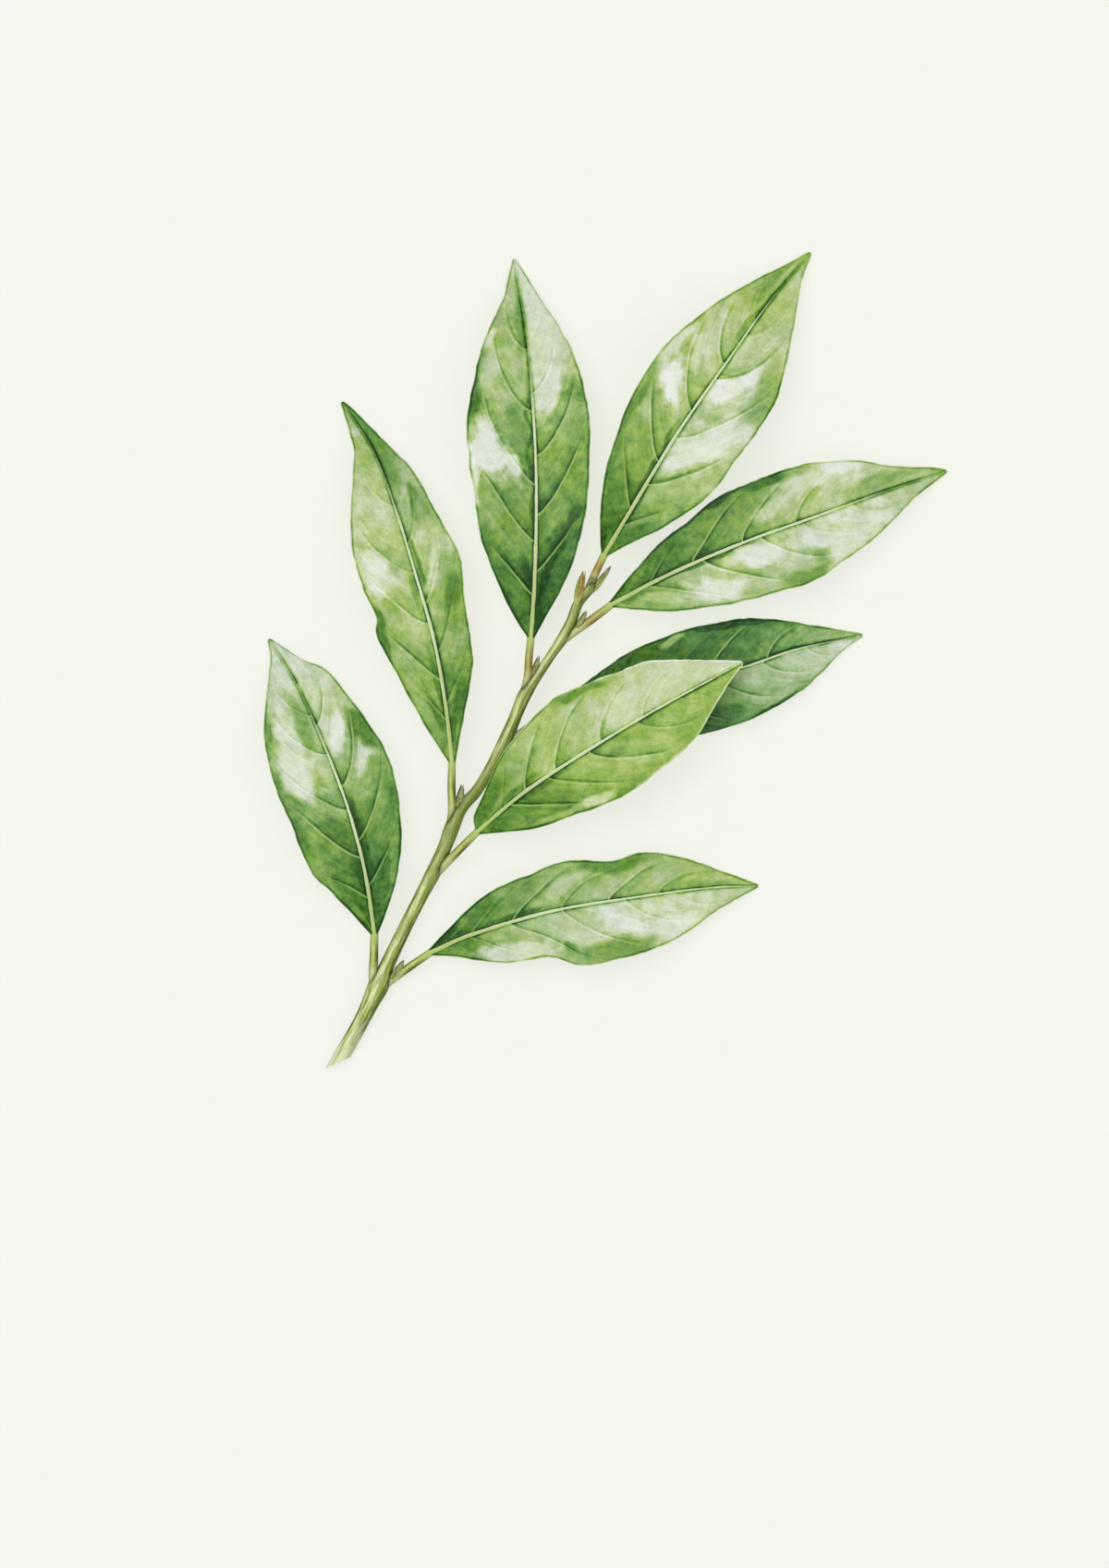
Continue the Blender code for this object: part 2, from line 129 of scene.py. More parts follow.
# The stem's centre line from below the cut to the tip: x, y, z, radius. It swells at each node.
STEM = (
    (-68.4, -104.0, 1.9, 2.0), (-64.1, -96.5, 1.9, 2.0), (-58.5, -86.6, 2.6, 1.9),
    (-53.8, -77.0, 3.4, 2.1), (-51.8, -72.2, 3.9, 1.75), (-47.2, -62.7, 4.8, 1.6),
    (-41.8, -52.0, 5.8, 1.6), (-37.9, -43.8, 6.5, 1.65), (-34.6, -35.6, 7.2, 1.6),
    (-30.6, -31.0, 7.5, 1.4), (-27.0, -25.0, 8.0, 1.35), (-23.2, -17.5, 8.5, 1.5),
    (-18.6, -7.4, 9.1, 1.4), (-13.2, 0.8, 9.6, 1.1), (-8.6, 8.2, 10.1, 1.3),
    (-6.5, 13.6, 10.5, 1.2), (-3.9, 17.0, 10.9, 1.0), (-2.9, 19.3, 11.2, 0.95),
)
NODE_SWELL = 0.30         # how far the stem swells towards a leaf
NODE_RING = 0.05          # and all round
RIDGES = ((9, 26.0, 0.05), (17, 15.0, 0.03), (24, 1.6, 0.012))   # number in half a turn, length, height
PORES = 110               # pale pores in the bark
STROKE_RADIUS = 1.6       # of the stem, as its lengthwise strokes take it
# Painted shade under the leaves that lie over the stem, where it is duller and darker: share of its length,
# and how much.
STEM_SHADE_STRETCHES = ((0.0, 0.0), (0.40, 0.1), (0.47, 0.85), (0.60, 1.0), (0.67, 0.15), (0.88, 0.1), (0.94, 0.9),
             (1.0, 1.0))
CUT_CENTRE = (-63.9, -95.9)
CUT_SLANT = math.radians(23.5)   # the pruning cut's face, measured from +X

# Each leaf, in the order that they leave the stem.
# petiole: x, y, z, radius, from inside the stem to the blade.
# rib, left, right: x, y along the midrib and along each margin, looking from the base to the tip.
# arch: share of the length and height of the midrib there.
# fold: how far the left and right margins stand above the midrib.
# wave: height, number and start of the ripples.
# rib_ends: between which shares the pale midrib gives way to a dark crease.
# rib_shade: how much darker the blade is right beside the midrib, on the left and on the right.
# left_veins, right_veins: share of the midrib where a side vein starts, how far it runs towards the tip
#   on its way to the margin, and how plainly it shows.
# tone: left and right, each at the base, at a third, at two thirds and at the tip; partly the leaf's own
# greens, partly painted light and shade that make one half of the folded blade paler than the other.
# warmth: left and right, each at the base, middle and tip, from -1 (bluish) to 1 (yellowish green).
# washes: watery patches that lie along the side veins, the pale ones partly lighter green and partly painted
#   highlights for the leaf's gloss: share of the midrib beside the middle, place across (-1 right margin,
#   1 left margin), half length, half width, and the tone inside.
Leaf = namedtuple("Leaf", "petiole rib left right arch fold wave rib_ends rib_shade left_veins right_veins"
                          " tone warmth washes")
LEAVES = {
    "leaf_lower_left": Leaf(
        petiole=((-54.9, -79.2, 3.2, 1.2), (-55.3, -74.6, 3.8, 1.14), (-55.1, -70, 4.8, 1.04),
            (-55, -65, 6, 0.98)),
        rib=((-55, -65), (-57.3, -50), (-61.3, -35), (-67, -20), (-73.5, -5.8), (-80.2, 5.2)),
        left=((-60.6, -60), (-65.4, -55), (-70.2, -50), (-74.3, -40), (-78.7, -30), (-81, -20),
            (-80.9, -10), (-79.9, 0)),
        right=((-52.2, -60), (-49.3, -50), (-48.6, -40), (-49.7, -30), (-53, -20), (-60, -10),
            (-65.9, -2.5), (-71.2, 0), (-75.5, 2.6)),
        arch=((0, 6.5), (0.3, 9.8), (0.55, 9), (0.8, 4.2), (0.93, 1.2), (1, 0.5)),
        fold=(3.2, 3.6), wave=(0.9, 2.2, 0.4), rib_ends=(0.5, 0.8), rib_shade=(0.15, 0.33),
        left_veins=((0.115, 0.15, 0.8), (0.245, 0.27, 1), (0.4, 0.24, 0.8), (0.585, 0.24, 0.7),
            (0.72, 0.2, 0.4)),
        right_veins=((0.15, 0.18, 0.8), (0.3, 0.24, 0.9), (0.475, 0.29, 1), (0.685, 0.22, 0.7),
            (0.83, 0.13, 0.2)),
        tone=((0.17, 0.49, 0.75, 0.88), (0.12, 0.43, 0.77, 0.88)),
        warmth=((0.2, -0.2, -0.7), (-0.5, 0, -0.6)),
        washes=((0.07, 0.6, 0.025, 0.35, 0.45), (0.18, 0.12, 0.08, 0.14, 0.14),
            (0.05, 0.95, 0.06, 0.12, 0.2), (0.24, 0.85, 0.06, 0.13, 0.52), (0.38, 0.93, 0.06, 0.09, 0.33),
            (0.34, 0.3, 0.05, 0.2, 0.3), (0.58, 0.64, 0.085, 0.27, 0.91), (0.7, 0.58, 0.05, 0.18, 0.88),
            (0.7, 0.25, 0.08, 0.15, 0.5), (0.7, 0.92, 0.07, 0.08, 0.46), (0.28, -0.12, 0.17, 0.09, 0.16),
            (0.22, -0.85, 0.1, 0.11, 0.48), (0.39, -0.93, 0.05, 0.09, 0.3),
            (0.55, -0.6, 0.035, 0.22, 0.88), (0.62, -0.82, 0.055, 0.22, 0.32),
            (0.63, -0.35, 0.035, 0.22, 0.94))
    ),
    "leaf_lower_right": Leaf(
        petiole=((-54.6, -78.6, 3.2, 1.2), (-51.2, -76.2, 3.8, 1.09), (-46.4, -72.8, 4.8, 0.98),
            (-41.4, -69.4, 6, 0.93)),
        rib=((-41.4, -69.4), (-31.4, -65.1), (-12.9, -59.7), (5.6, -56.6), (24.2, -54.2), (36.5, -53.7)),
        left=((-37.6, -64.2), (-28.3, -55.8), (-16.6, -50.3), (-9.5, -47.6), (1.3, -47.8), (9.5, -45.6),
            (18.6, -46.9), (29.1, -50.6)),
        right=((-34.5, -70.6), (-24, -72.2), (-14, -70.6), (-5.5, -72.4), (4.4, -70.8), (16.7, -66.3),
            (26, -60.1), (32, -56.5)),
        arch=((0, 6.5), (0.3, 9.2), (0.55, 8), (0.8, 3.8), (0.93, 1.1), (1, 0.5)),
        fold=(2.8, 3.4), wave=(1.5, 2.6, 0.1), rib_ends=(0.85, 1), rib_shade=(0.26, 0.24),
        left_veins=((0.13, 0.18, 0.5), (0.26, 0.24, 1), (0.41, 0.22, 0.5), (0.55, 0.235, 1),
            (0.7, 0.22, 0.6)),
        right_veins=((0.12, 0.2, 0.5), (0.25, 0.25, 0.8), (0.41, 0.26, 0.8), (0.6, 0.25, 0.6),
            (0.75, 0.2, 0.3)),
        tone=((0.14, 0.61, 0.66, 0.66), (0.3, 0.74, 0.84, 0.77)),
        warmth=((-0.3, -0.1, 0.4), (0, -0.2, 0.3)),
        washes=((0.07, 0.75, 0.035, 0.35, 0.08), (0.12, 0.6, 0.02, 0.28, 0.44),
            (0.25, 0.12, 0.11, 0.07, 0.26), (0.42, 0.48, 0.055, 0.25, 0.72),
            (0.58, 0.84, 0.09, 0.18, 0.36), (0.76, 0.7, 0.06, 0.2, 0.64), (0.82, 0.22, 0.07, 0.12, 0.54),
            (0.12, -0.2, 0.035, 0.14, 0.4), (0.06, -0.5, 0.05, 0.4, 0.42), (0.25, -0.78, 0.11, 0.24, 0.87),
            (0.42, -0.3, 0.07, 0.2, 0.72), (0.54, -0.85, 0.14, 0.17, 0.46), (0.41, -0.7, 0.02, 0.1, 0.3),
            (0.58, -0.4, 0.045, 0.24, 0.92), (0.74, -0.75, 0.07, 0.24, 0.9))
    ),
    "leaf_middle_right": Leaf(
        petiole=((-42, -52.4, 5.8, 1.1), (-38.5, -48.8, 6.7, 1.09), (-34.9, -45.2, 8.2, 0.98),
            (-30.4, -40.7, 10.8, 0.93)),
        rib=((-30.4, -40.7), (-20, -31.9), (-8.8, -24.3), (3, -17), (14.9, -10.1), (32.7, -0.5)),
        left=((-31.3, -37.1), (-29.5, -33), (-27.2, -27.8), (-24.7, -22.4), (-21.4, -18.2), (-13.9, -10.5),
            (-9, -7.5), (1.1, -3.5), (10.3, -0.3), (22.2, 0.1), (29, 0)),
        right=((-26, -41), (-16.1, -39.8), (-6.2, -36.4), (3.7, -32.5), (12.9, -25.9), (21.5, -18.3),
            (26.8, -9.4), (30.4, -4)),
        arch=((0, 11.3), (0.25, 15.5), (0.5, 17), (0.75, 15.5), (1, 12.5)),
        fold=(3.4, 3), wave=(0.8, 2, 0.7), rib_ends=(0.85, 1), rib_shade=(0.12, 0.38),
        left_veins=((0.1, 0.15, 0.4), (0.2, 0.2, 1), (0.315, 0.26, 1), (0.485, 0.23, 0.8),
            (0.64, 0.22, 0.5), (0.8, 0.14, 0.1)),
        right_veins=((0.135, 0.25, 0.9), (0.28, 0.27, 0.7), (0.43, 0.28, 1), (0.61, 0.25, 0.6),
            (0.77, 0.18, 0.2)),
        tone=((0.46, 0.68, 0.79, 0.84), (0.29, 0.54, 0.57, 0.57)),
        warmth=((0.4, 0.5, 0.4), (0.4, 0.8, 1)),
        washes=((0.1, 0.6, 0.07, 0.4, 0.34), (0.17, 0.14, 0.09, 0.07, 0.36), (0.36, 0.5, 0.06, 0.25, 0.64),
            (0.52, 0.92, 0.08, 0.08, 0.38), (0.6, 0.4, 0.07, 0.25, 0.84), (0.8, 0.5, 0.15, 0.5, 0.8),
            (0.2, -0.1, 0.12, 0.06, 0.28), (0.27, -0.42, 0.04, 0.22, 0.4), (0.26, -0.88, 0.08, 0.1, 0.62),
            (0.38, -0.86, 0.05, 0.11, 0.84), (0.56, -0.6, 0.02, 0.2, 0.7),
            (0.48, -0.93, 0.06, 0.07, 0.42))
    ),
    "leaf_middle_left": Leaf(
        petiole=((-37.3, -42.4, 6.6, 1.1), (-36.5, -36, 7.4, 1.04), (-36.6, -30, 8.8, 0.98),
            (-36.5, -24, 10.4, 0.93)),
        rib=((-36.5, -24), (-38.1, -10), (-40.8, 5), (-45, 20), (-49.6, 35), (-55.2, 50), (-62.8, 61.7)),
        left=((-43.2, -15), (-48.6, -5), (-54, 5), (-54.8, 11), (-58.7, 20), (-60.6, 30), (-60.4, 40),
            (-60, 50), (-62.2, 58.5)),
        right=((-34, -15), (-32, -5), (-31.6, 2), (-33.5, 15), (-34.6, 25), (-40, 35), (-45.3, 44.5),
            (-50.2, 50), (-55.2, 55), (-59.8, 59.7)),
        arch=((0, 10.9), (0.25, 13.2), (0.5, 12.2), (0.78, 5.8), (0.93, 1.4), (1, 0.5)),
        fold=(3, 3.4), wave=(1.2, 2.4, 0.9), rib_ends=(0.62, 0.8), rib_shade=(0.12, 0.28),
        left_veins=((0.11, 0.17, 0.5), (0.215, 0.21, 1), (0.365, 0.2, 0.9), (0.505, 0.2, 0.5),
            (0.69, 0.2, 0.3)),
        right_veins=((0.15, 0.15, 0.5), (0.29, 0.2, 0.6), (0.42, 0.25, 0.6), (0.585, 0.22, 0.5),
            (0.74, 0.15, 0.1)),
        tone=((0.43, 0.65, 0.74, 0.65), (0.35, 0.58, 0.69, 0.52)),
        warmth=((0.3, 0.3, 0), (0.1, 0.2, -0.3)),
        washes=((0.2, 0.12, 0.09, 0.07, 0.32), (0.15, 0.42, 0.04, 0.22, 0.3), (0.22, 0.7, 0.05, 0.2, 0.58),
            (0.37, 0.93, 0.07, 0.09, 0.26), (0.46, 0.45, 0.04, 0.25, 0.62),
            (0.47, 0.12, 0.045, 0.09, 0.46), (0.53, 0.68, 0.065, 0.26, 0.96),
            (0.44, 0.64, 0.025, 0.14, 0.54), (0.38, -0.09, 0.25, 0.05, 0.32),
            (0.12, -0.5, 0.06, 0.5, 0.26), (0.44, -0.72, 0.04, 0.2, 0.28), (0.52, -0.48, 0.024, 0.5, 0.8),
            (0.57, -0.76, 0.05, 0.18, 0.72), (0.7, -0.6, 0.03, 0.2, 0.4), (0.87, -0.5, 0.1, 0.6, 0.43))
    ),
    "leaf_back_right": Leaf(
        petiole=((-24.7, -20.2, 8.3, 1), (-20.3, -17.4, 8.2, 0.99), (-17, -15.2, 8, 0.98),
            (-13.5, -13, 7.6, 0.93)),
        rib=((-13.5, -13), (0, -9.5), (15, -6), (33, -1.5), (45.9, 2.8), (61.4, 6.1)),
        left=((-8.8, -8.8), (-4.2, -5), (5, 1.5), (15.6, 6.1), (24.8, 8.7), (35.4, 10.1), (45.9, 9),
            (55.8, 7.4)),
        right=((-8, -16.5), (2, -18.5), (13, -18.6), (22.2, -17.7), (31.4, -15.2), (40.6, -11.1),
            (49.2, -5.2), (56.5, 2.1)),
        arch=((0, 8.1), (0.25, 7.6), (0.5, 6), (0.78, 2.8), (0.93, 0.9), (1, 0.5)),
        fold=(2.4, 2.4), wave=(0.6, 2, 0.3), rib_ends=(0.75, 0.95), rib_shade=(0.3, 0.1),
        left_veins=((0.12, 0.18, 0.15), (0.26, 0.2, 0.15), (0.39, 0.2, 0.15), (0.51, 0.18, 1),
            (0.695, 0.14, 1), (0.84, 0.1, 0.2)),
        right_veins=((0.18, 0.2, 0.8), (0.35, 0.22, 0.8), (0.52, 0.22, 0.9), (0.675, 0.22, 0.9),
            (0.82, 0.12, 0.4)),
        tone=((0.2, 0.27, 0.36, 0.74), (0.28, 0.3, 0.68, 0.84)),
        warmth=((0, -0.4, -0.5), (-0.8, -1, -1.2)),
        washes=((0.42, 0.88, 0.035, 0.1, 0.64), (0.62, 0.95, 0.12, 0.08, 0.06),
            (0.78, 0.35, 0.06, 0.2, 0.48), (0.88, 0.6, 0.08, 0.3, 0.58), (0.76, 0.06, 0.14, 0.06, 0.16),
            (0.5, -0.8, 0.08, 0.2, 0.22), (0.68, -0.3, 0.07, 0.3, 0.69), (0.8, -0.5, 0.07, 0.35, 0.74),
            (0.68, -0.95, 0.08, 0.06, 0.26))
    ),
    "leaf_upper_left": Leaf(
        petiole=((-19.9, -10, 8.9, 1.05), (-18.6, -4.4, 9.5, 0.99), (-18.2, 0.5, 10.8, 0.93),
            (-17.7, 5.6, 12.2, 0.93)),
        rib=((-17.7, 5.6), (-16.8, 20), (-16.4, 38), (-16.9, 55), (-18.6, 75), (-21.7, 95.8)),
        left=((-21.4, 10), (-26.4, 20), (-29.7, 30), (-31.3, 40), (-33.1, 55), (-31.5, 65), (-29.2, 75),
            (-24.9, 85), (-23.3, 91)),
        right=((-14.4, 10), (-9.2, 20), (-5.8, 30), (-4.2, 40), (-3.7, 55), (-5.1, 65), (-8.5, 75),
            (-14.3, 85), (-17.9, 90.5)),
        arch=((0, 12.7), (0.25, 15.2), (0.5, 13.8), (0.78, 6.6), (0.93, 1.5), (1, 0.5)),
        fold=(3.4, 3.2), wave=(0.9, 2.2, 0.2), rib_ends=(0.55, 0.75), rib_shade=(0.3, 0.15),
        left_veins=((0.11, 0.17, 1), (0.25, 0.26, 1), (0.4, 0.33, 1), (0.59, 0.27, 1), (0.755, 0.19, 0.6)),
        right_veins=((0.17, 0.18, 1), (0.32, 0.24, 1), (0.475, 0.225, 1), (0.64, 0.21, 0.7),
            (0.78, 0.15, 0.3)),
        tone=((0.24, 0.48, 0.63, 0.78), (0.05, 0.42, 0.66, 0.86)),
        warmth=((-0.1, 0, -0.3), (-0.5, 0.2, -0.6)),
        washes=((0.15, 0.18, 0.05, 0.14, 0.08), (0.07, 0.92, 0.07, 0.12, 0.14),
            (0.35, 0.74, 0.05, 0.18, 0.58), (0.42, 0.07, 0.2, 0.04, 0.24), (0.5, 0.76, 0.075, 0.25, 0.98),
            (0.46, 0.38, 0.035, 0.14, 0.94), (0.54, 0.25, 0.06, 0.14, 0.47),
            (0.41, 0.94, 0.05, 0.06, 0.92), (0.655, 0.94, 0.065, 0.12, 0.22),
            (0.71, 0.75, 0.06, 0.2, 0.78), (0.79, 0.86, 0.03, 0.1, 0.88), (0.82, 0.18, 0.08, 0.1, 0.5),
            (0.13, -0.3, 0.05, 0.2, 0.05), (0.22, -0.5, 0.03, 0.2, 0.08), (0.31, -0.3, 0.04, 0.16, 0.48),
            (0.325, -0.8, 0.02, 0.1, 0.12), (0.64, -0.32, 0.05, 0.28, 0.92), (0.82, -0.5, 0.15, 0.8, 0.86),
            (0.77, -0.88, 0.06, 0.22, 0.84))
    ),
    "leaf_upper_right": Leaf(
        petiole=((-11, 4.2, 9.85, 1), (-6.4, 7.5, 10.3, 1.04), (-2.2, 10.5, 11.1, 0.98),
            (1.6, 13.4, 12.2, 0.93)),
        rib=((1.6, 13.4), (15.7, 20.7), (33, 28.1), (49.6, 34.1), (68.2, 40.9), (81.4, 45.2)),
        left=((6.4, 20.8), (13.2, 28), (20.6, 33.7), (25.5, 38), (31.1, 40.8), (45.3, 46.1), (57.6, 47.8),
            (69, 46.3), (77.5, 46.1)),
        right=((8, 12), (18.8, 11.9), (31, 13.6), (41, 16.3), (49, 18.5), (57, 23.9), (65.7, 30.4),
            (73.1, 38.1)),
        arch=((0, 12.7), (0.25, 14), (0.5, 12.2), (0.78, 5.8), (0.93, 1.4), (1, 0.5)),
        fold=(2.8, 3.2), wave=(1, 2.2, 0.6), rib_ends=(0.6, 0.9), rib_shade=(0.32, 0.18),
        left_veins=((0.12, 0.15, 0.5), (0.25, 0.23, 1), (0.4, 0.21, 1), (0.555, 0.19, 0.6),
            (0.7, 0.2, 0.2)),
        right_veins=((0.11, 0.25, 0.8), (0.28, 0.235, 1), (0.45, 0.23, 1), (0.57, 0.25, 0.35),
            (0.72, 0.2, 0.2)),
        tone=((0.25, 0.41, 0.79, 0.64), (0.42, 0.73, 0.82, 0.75)),
        warmth=((0.1, -0.1, 0.2), (0, -0.2, 0)),
        washes=((0.08, 0.5, 0.02, 0.35, 0.42), (0.32, 0.96, 0.15, 0.07, 0.05),
            (0.18, 0.12, 0.11, 0.06, 0.22), (0.26, 0.32, 0.04, 0.12, 0.46), (0.52, 0.92, 0.06, 0.1, 0.26),
            (0.52, 0.42, 0.05, 0.2, 0.8), (0.62, 0.66, 0.06, 0.18, 0.86), (0.71, 0.86, 0.055, 0.14, 0.95),
            (0.82, 0.42, 0.07, 0.35, 0.54), (0.07, -0.28, 0.05, 0.14, 0.34),
            (0.28, -0.06, 0.15, 0.04, 0.3), (0.3, -0.66, 0.06, 0.28, 0.91), (0.14, -0.55, 0.05, 0.28, 0.7),
            (0.42, -0.27, 0.07, 0.17, 0.94), (0.54, -0.88, 0.07, 0.14, 0.44),
            (0.6, -0.68, 0.03, 0.12, 0.5), (0.66, -0.6, 0.05, 0.4, 0.88))
    ),
    "leaf_terminal": Leaf(
        petiole=((-4.2, 16.6, 10.85, 0.95), (-2.7, 20, 11.4, 0.99), (-1.5, 22.6, 12.4, 0.93),
            (-0.2, 25.3, 13.4, 0.93)),
        rib=((-0.2, 25.3), (5.6, 35), (11.6, 45), (17.8, 55), (28.2, 70), (38.8, 85), (48.9, 97.3)),
        left=((-1.2, 28.5), (-1.1, 35), (0.1, 45), (5.1, 60), (10.5, 70), (16, 76.7), (25, 84.1),
            (35, 90.4), (42.5, 94.2)),
        right=((5, 27.3), (12.6, 31), (20.1, 35.7), (25.8, 40.4), (32.8, 50), (39.8, 60), (43, 70),
            (44.9, 80), (46.8, 90)),
        arch=((0, 13.9), (0.25, 17.2), (0.5, 15.4), (0.78, 7.2), (0.93, 1.6), (1, 0.5)),
        fold=(3.2, 3.4), wave=(0.9, 2.2, 0.5), rib_ends=(0.68, 0.9), rib_shade=(0.32, 0.3),
        left_veins=((0.14, 0.2, 0.8), (0.29, 0.23, 1), (0.455, 0.27, 1), (0.61, 0.22, 1),
            (0.76, 0.18, 0.3)),
        right_veins=((0.09, 0.17, 0.6), (0.22, 0.24, 1), (0.37, 0.29, 0.9), (0.565, 0.24, 0.9),
            (0.71, 0.22, 0.35)),
        tone=((0.22, 0.6, 0.76, 0.65), (0.29, 0.76, 0.77, 0.65)),
        warmth=((0.3, 0.4, 0.4), (-0.2, 0, 0.5)),
        washes=((0.03, 0.6, 0.03, 0.4, 0.14), (0.26, 0.09, 0.14, 0.05, 0.28),
            (0.33, 0.92, 0.14, 0.09, 0.36), (0.29, 0.36, 0.05, 0.16, 0.5), (0.51, 0.6, 0.036, 0.3, 1),
            (0.58, 0.9, 0.07, 0.14, 0.88), (0.59, 0.52, 0.03, 0.18, 0.8), (0.78, 0.1, 0.1, 0.06, 0.48),
            (0.88, 0.6, 0.06, 0.3, 0.48), (0.15, -0.07, 0.08, 0.05, 0.26), (0.06, -0.5, 0.05, 0.5, 0.3),
            (0.39, -0.45, 0.075, 0.42, 0.9), (0.48, -0.8, 0.04, 0.16, 0.86),
            (0.56, -0.28, 0.045, 0.22, 0.98), (0.6, -0.78, 0.09, 0.18, 0.54),
            (0.6, -0.95, 0.06, 0.06, 0.46), (0.8, -0.7, 0.06, 0.35, 0.67))
    ),
}

# The leaf that lies on another one. The outer part of its margin gets a painted highlight, pale instead of
# dark.
ON_TOP = "leaf_middle_right"

# How reddish brown the leaf stalks are. The others are plain green.
REDDISH_STALKS = {"leaf_upper_left": 0.75, "leaf_upper_right": 0.8, "leaf_terminal": 0.9,
                  "leaf_middle_right": 0.15}

# Each bud: foot and tip x, y, z, its radius, how many scales it shows, and the record's slot.
BUDS = {
    "bud_lower_right": ((-51.0, -75.8, 4.7), (-47.7, -71.3, 6.4), 0.85, 3, "bud_scale"),
    "bud_middle_left": ((-35.3, -36.0, 7.2), (-33.8, -29.3, 9.8), 1.0, 3, "bud_scale"),
    "bud_upper_left": ((-17.7, -4.2, 9.2), (-15.5, 1.3, 11.6), 0.75, 3, "bud_scale"),
    "bud_upper_right": ((-6.7, 7.9, 11.2), (-4.2, 11.9, 12.5), 0.8, 3, "bud_scale"),
    "bud_side_shoot": ((-7.0, 12.8, 10.9), (-5.2, 21.7, 12.4), 1.1, 4, "bud_brown"),
    "bud_tip_right": ((-3.1, 16.3, 10.8), (1.6, 22.6, 11.5), 0.9, 3, "bud_scale"),
}
BUD_SLIMNESS = 0.88
SCALE_THICKNESS = 0.11

# Colours, as 0-255 screen values. Ramps give the place of each.
COOL_GREENS = ((0.0, (14, 54, 16)), (0.2, (46, 94, 37)), (0.4, (91, 138, 68)), (0.55, (131, 168, 99)),
               (0.7, (170, 191, 146)), (0.85, (207, 217, 198)), (1.0, (235, 238, 235)))
WARM_GREENS = ((0.0, (20, 58, 10)), (0.2, (60, 103, 22)), (0.4, (102, 147, 44)), (0.55, (142, 176, 74)),
               (0.7, (178, 199, 116)), (0.85, (210, 221, 179)), (1.0, (237, 240, 230)))
RIB_BASE = (186, 204, 122)
RIB_SHADE = (150, 174, 92)
RIB_MIDDLE = (220, 231, 188)
UNDER_DARK = (146, 168, 104)
UNDER_LIGHT = (170, 188, 128)
UNDER_NET = (190, 200, 144)
UNDER_VEINS = (206, 212, 156)
UNDER_RIB = (204, 204, 138)
# Stalks and stem: across them from right to left, with the light from the left.
STALK_COLOURS = ((0.0, (80, 92, 32)), (0.2, (118, 130, 48)), (0.45, (156, 168, 76)),
                 (0.62, (208, 216, 140)), (0.78, (172, 182, 92)), (1.0, (112, 122, 48)))
STEM_COLOURS = ((0.0, (84, 98, 34)), (0.16, (98, 116, 40)), (0.34, (134, 152, 62)), (0.48, (180, 192, 104)),
                (0.60, (230, 236, 188)), (0.74, (214, 223, 154)), (0.88, (156, 169, 80)),
                (1.0, (112, 124, 50)))
STALK_RED = (174, 128, 78)
STALK_FOOT = (208, 215, 154)
# Painted shade in the creases where stalks and buds meet the stem.
CREASE_SHADE = (58, 68, 26)
# Painted shade on the stem's underside.
STEM_UNDERSIDE_SHADE = (126, 136, 62)
STEM_STREAKS = (96, 114, 40)
STEM_GLINTS = (232, 237, 192)
STEM_PATCHES = (104, 124, 48)
# Painted shade under the leaves that lie over the stem.
STEM_OVERHANG_SHADE = (110, 129, 48)
STEM_COLLAR = (218, 224, 166)
STEM_WORN = (228, 234, 200)
STEM_PORES = (206, 198, 150)
# The cut face from its middle out: pith, wood and bark.
CUT_COLOURS = ((0.0, (196, 186, 138)), (0.17, (186, 172, 118)), (0.24, (226, 222, 176)),
               (0.6, (232, 230, 190)), (0.82, (208, 214, 150)), (0.9, (142, 150, 76)), (1.0, (110, 116, 52)))
# Bud scales: at the foot, on the bud's left, on its right, and at the tip.
OLIVE_SCALES = ((140, 152, 70), (128, 138, 68), (174, 182, 124), (126, 130, 106))
BROWN_SCALES = ((184, 196, 112), (146, 156, 72), (188, 142, 66), (140, 112, 56))
SCALE_FLECKS = (228, 226, 184)
SCALE_RIM = (78, 78, 40)
PAPER = ((243, 244, 236), (246, 247, 239))
BLACK = (0, 0, 0)
SPECULAR = 0.16

# The view, from straight above, in millimetres.
VIEW_CENTRE = (-12.1, -29.4)
VIEW_LONG_SIDE = 373.3           # what its long side covers, at the branch's middle height
VIEW_HEIGHT = 8.0
LENS = 500.0
SENSOR = 36.0
FLOOR_SIZE = 6.0                 # metres
FLOOR_GLOW = 0.75                # share of the floor's brightness that is its own, as on a light table
WORLD_LIGHT = 0.38
# Each soft light: its name, the direction it comes from, its spread in degrees, and its strength.
SUNS = (("key", (-0.24, 0.20, 1.0), 32.0, 1.30), ("fill", (0.30, -0.16, 1.0), 50.0, 0.78))


# ---------------------------------------------------------------- lines, noise and meshes

def smooth_line(points, shares):
    """Points at the given shares of the length of a smooth line through given points."""
    points = [np.array(p, float) for p in points]
    points = [2 * points[0] - points[1], *points, 2 * points[-1] - points[-2]]
    dense = [points[1]]
    for a, b, c, d in zip(points, points[1:], points[2:], points[3:]):
        for step in range(1, CURVE_SAMPLES + 1):
            t = step / CURVE_SAMPLES
            cubic = (c - a) * t + (2 * a - 5 * b + 4 * c - d) * t**2 + (3 * b - a - 3 * c + d) * t**3
            dense.append(b + 0.5 * cubic)
    dense = np.array(dense)
    lengths = np.linalg.norm(np.diff(dense, axis=0), axis=1).cumsum()
    lengths = np.concatenate(([0.0], lengths)) / lengths[-1]
    return np.stack([np.interp(shares, lengths, column) for column in dense.T], axis=-1)


def line_length(points):
    dense = smooth_line(points, np.linspace(0.0, 1.0, LINE_SAMPLES))
    return float(np.linalg.norm(np.diff(dense, axis=0), axis=1).sum())


def unit(vectors):
    return vectors / np.linalg.norm(vectors, axis=-1, keepdims=True)


def between(low, high, x):
    """0 below low, 1 above high, and an S-shaped rise in between."""
    t = np.clip((x - low) / (high - low), 0.0, 1.0)
    return t * t * (3 - 2 * t)


def bell(x, width):
    """1 at 0, and less on both sides, with next to nothing left at twice the width."""
    return np.exp(-(x / width) ** 2)


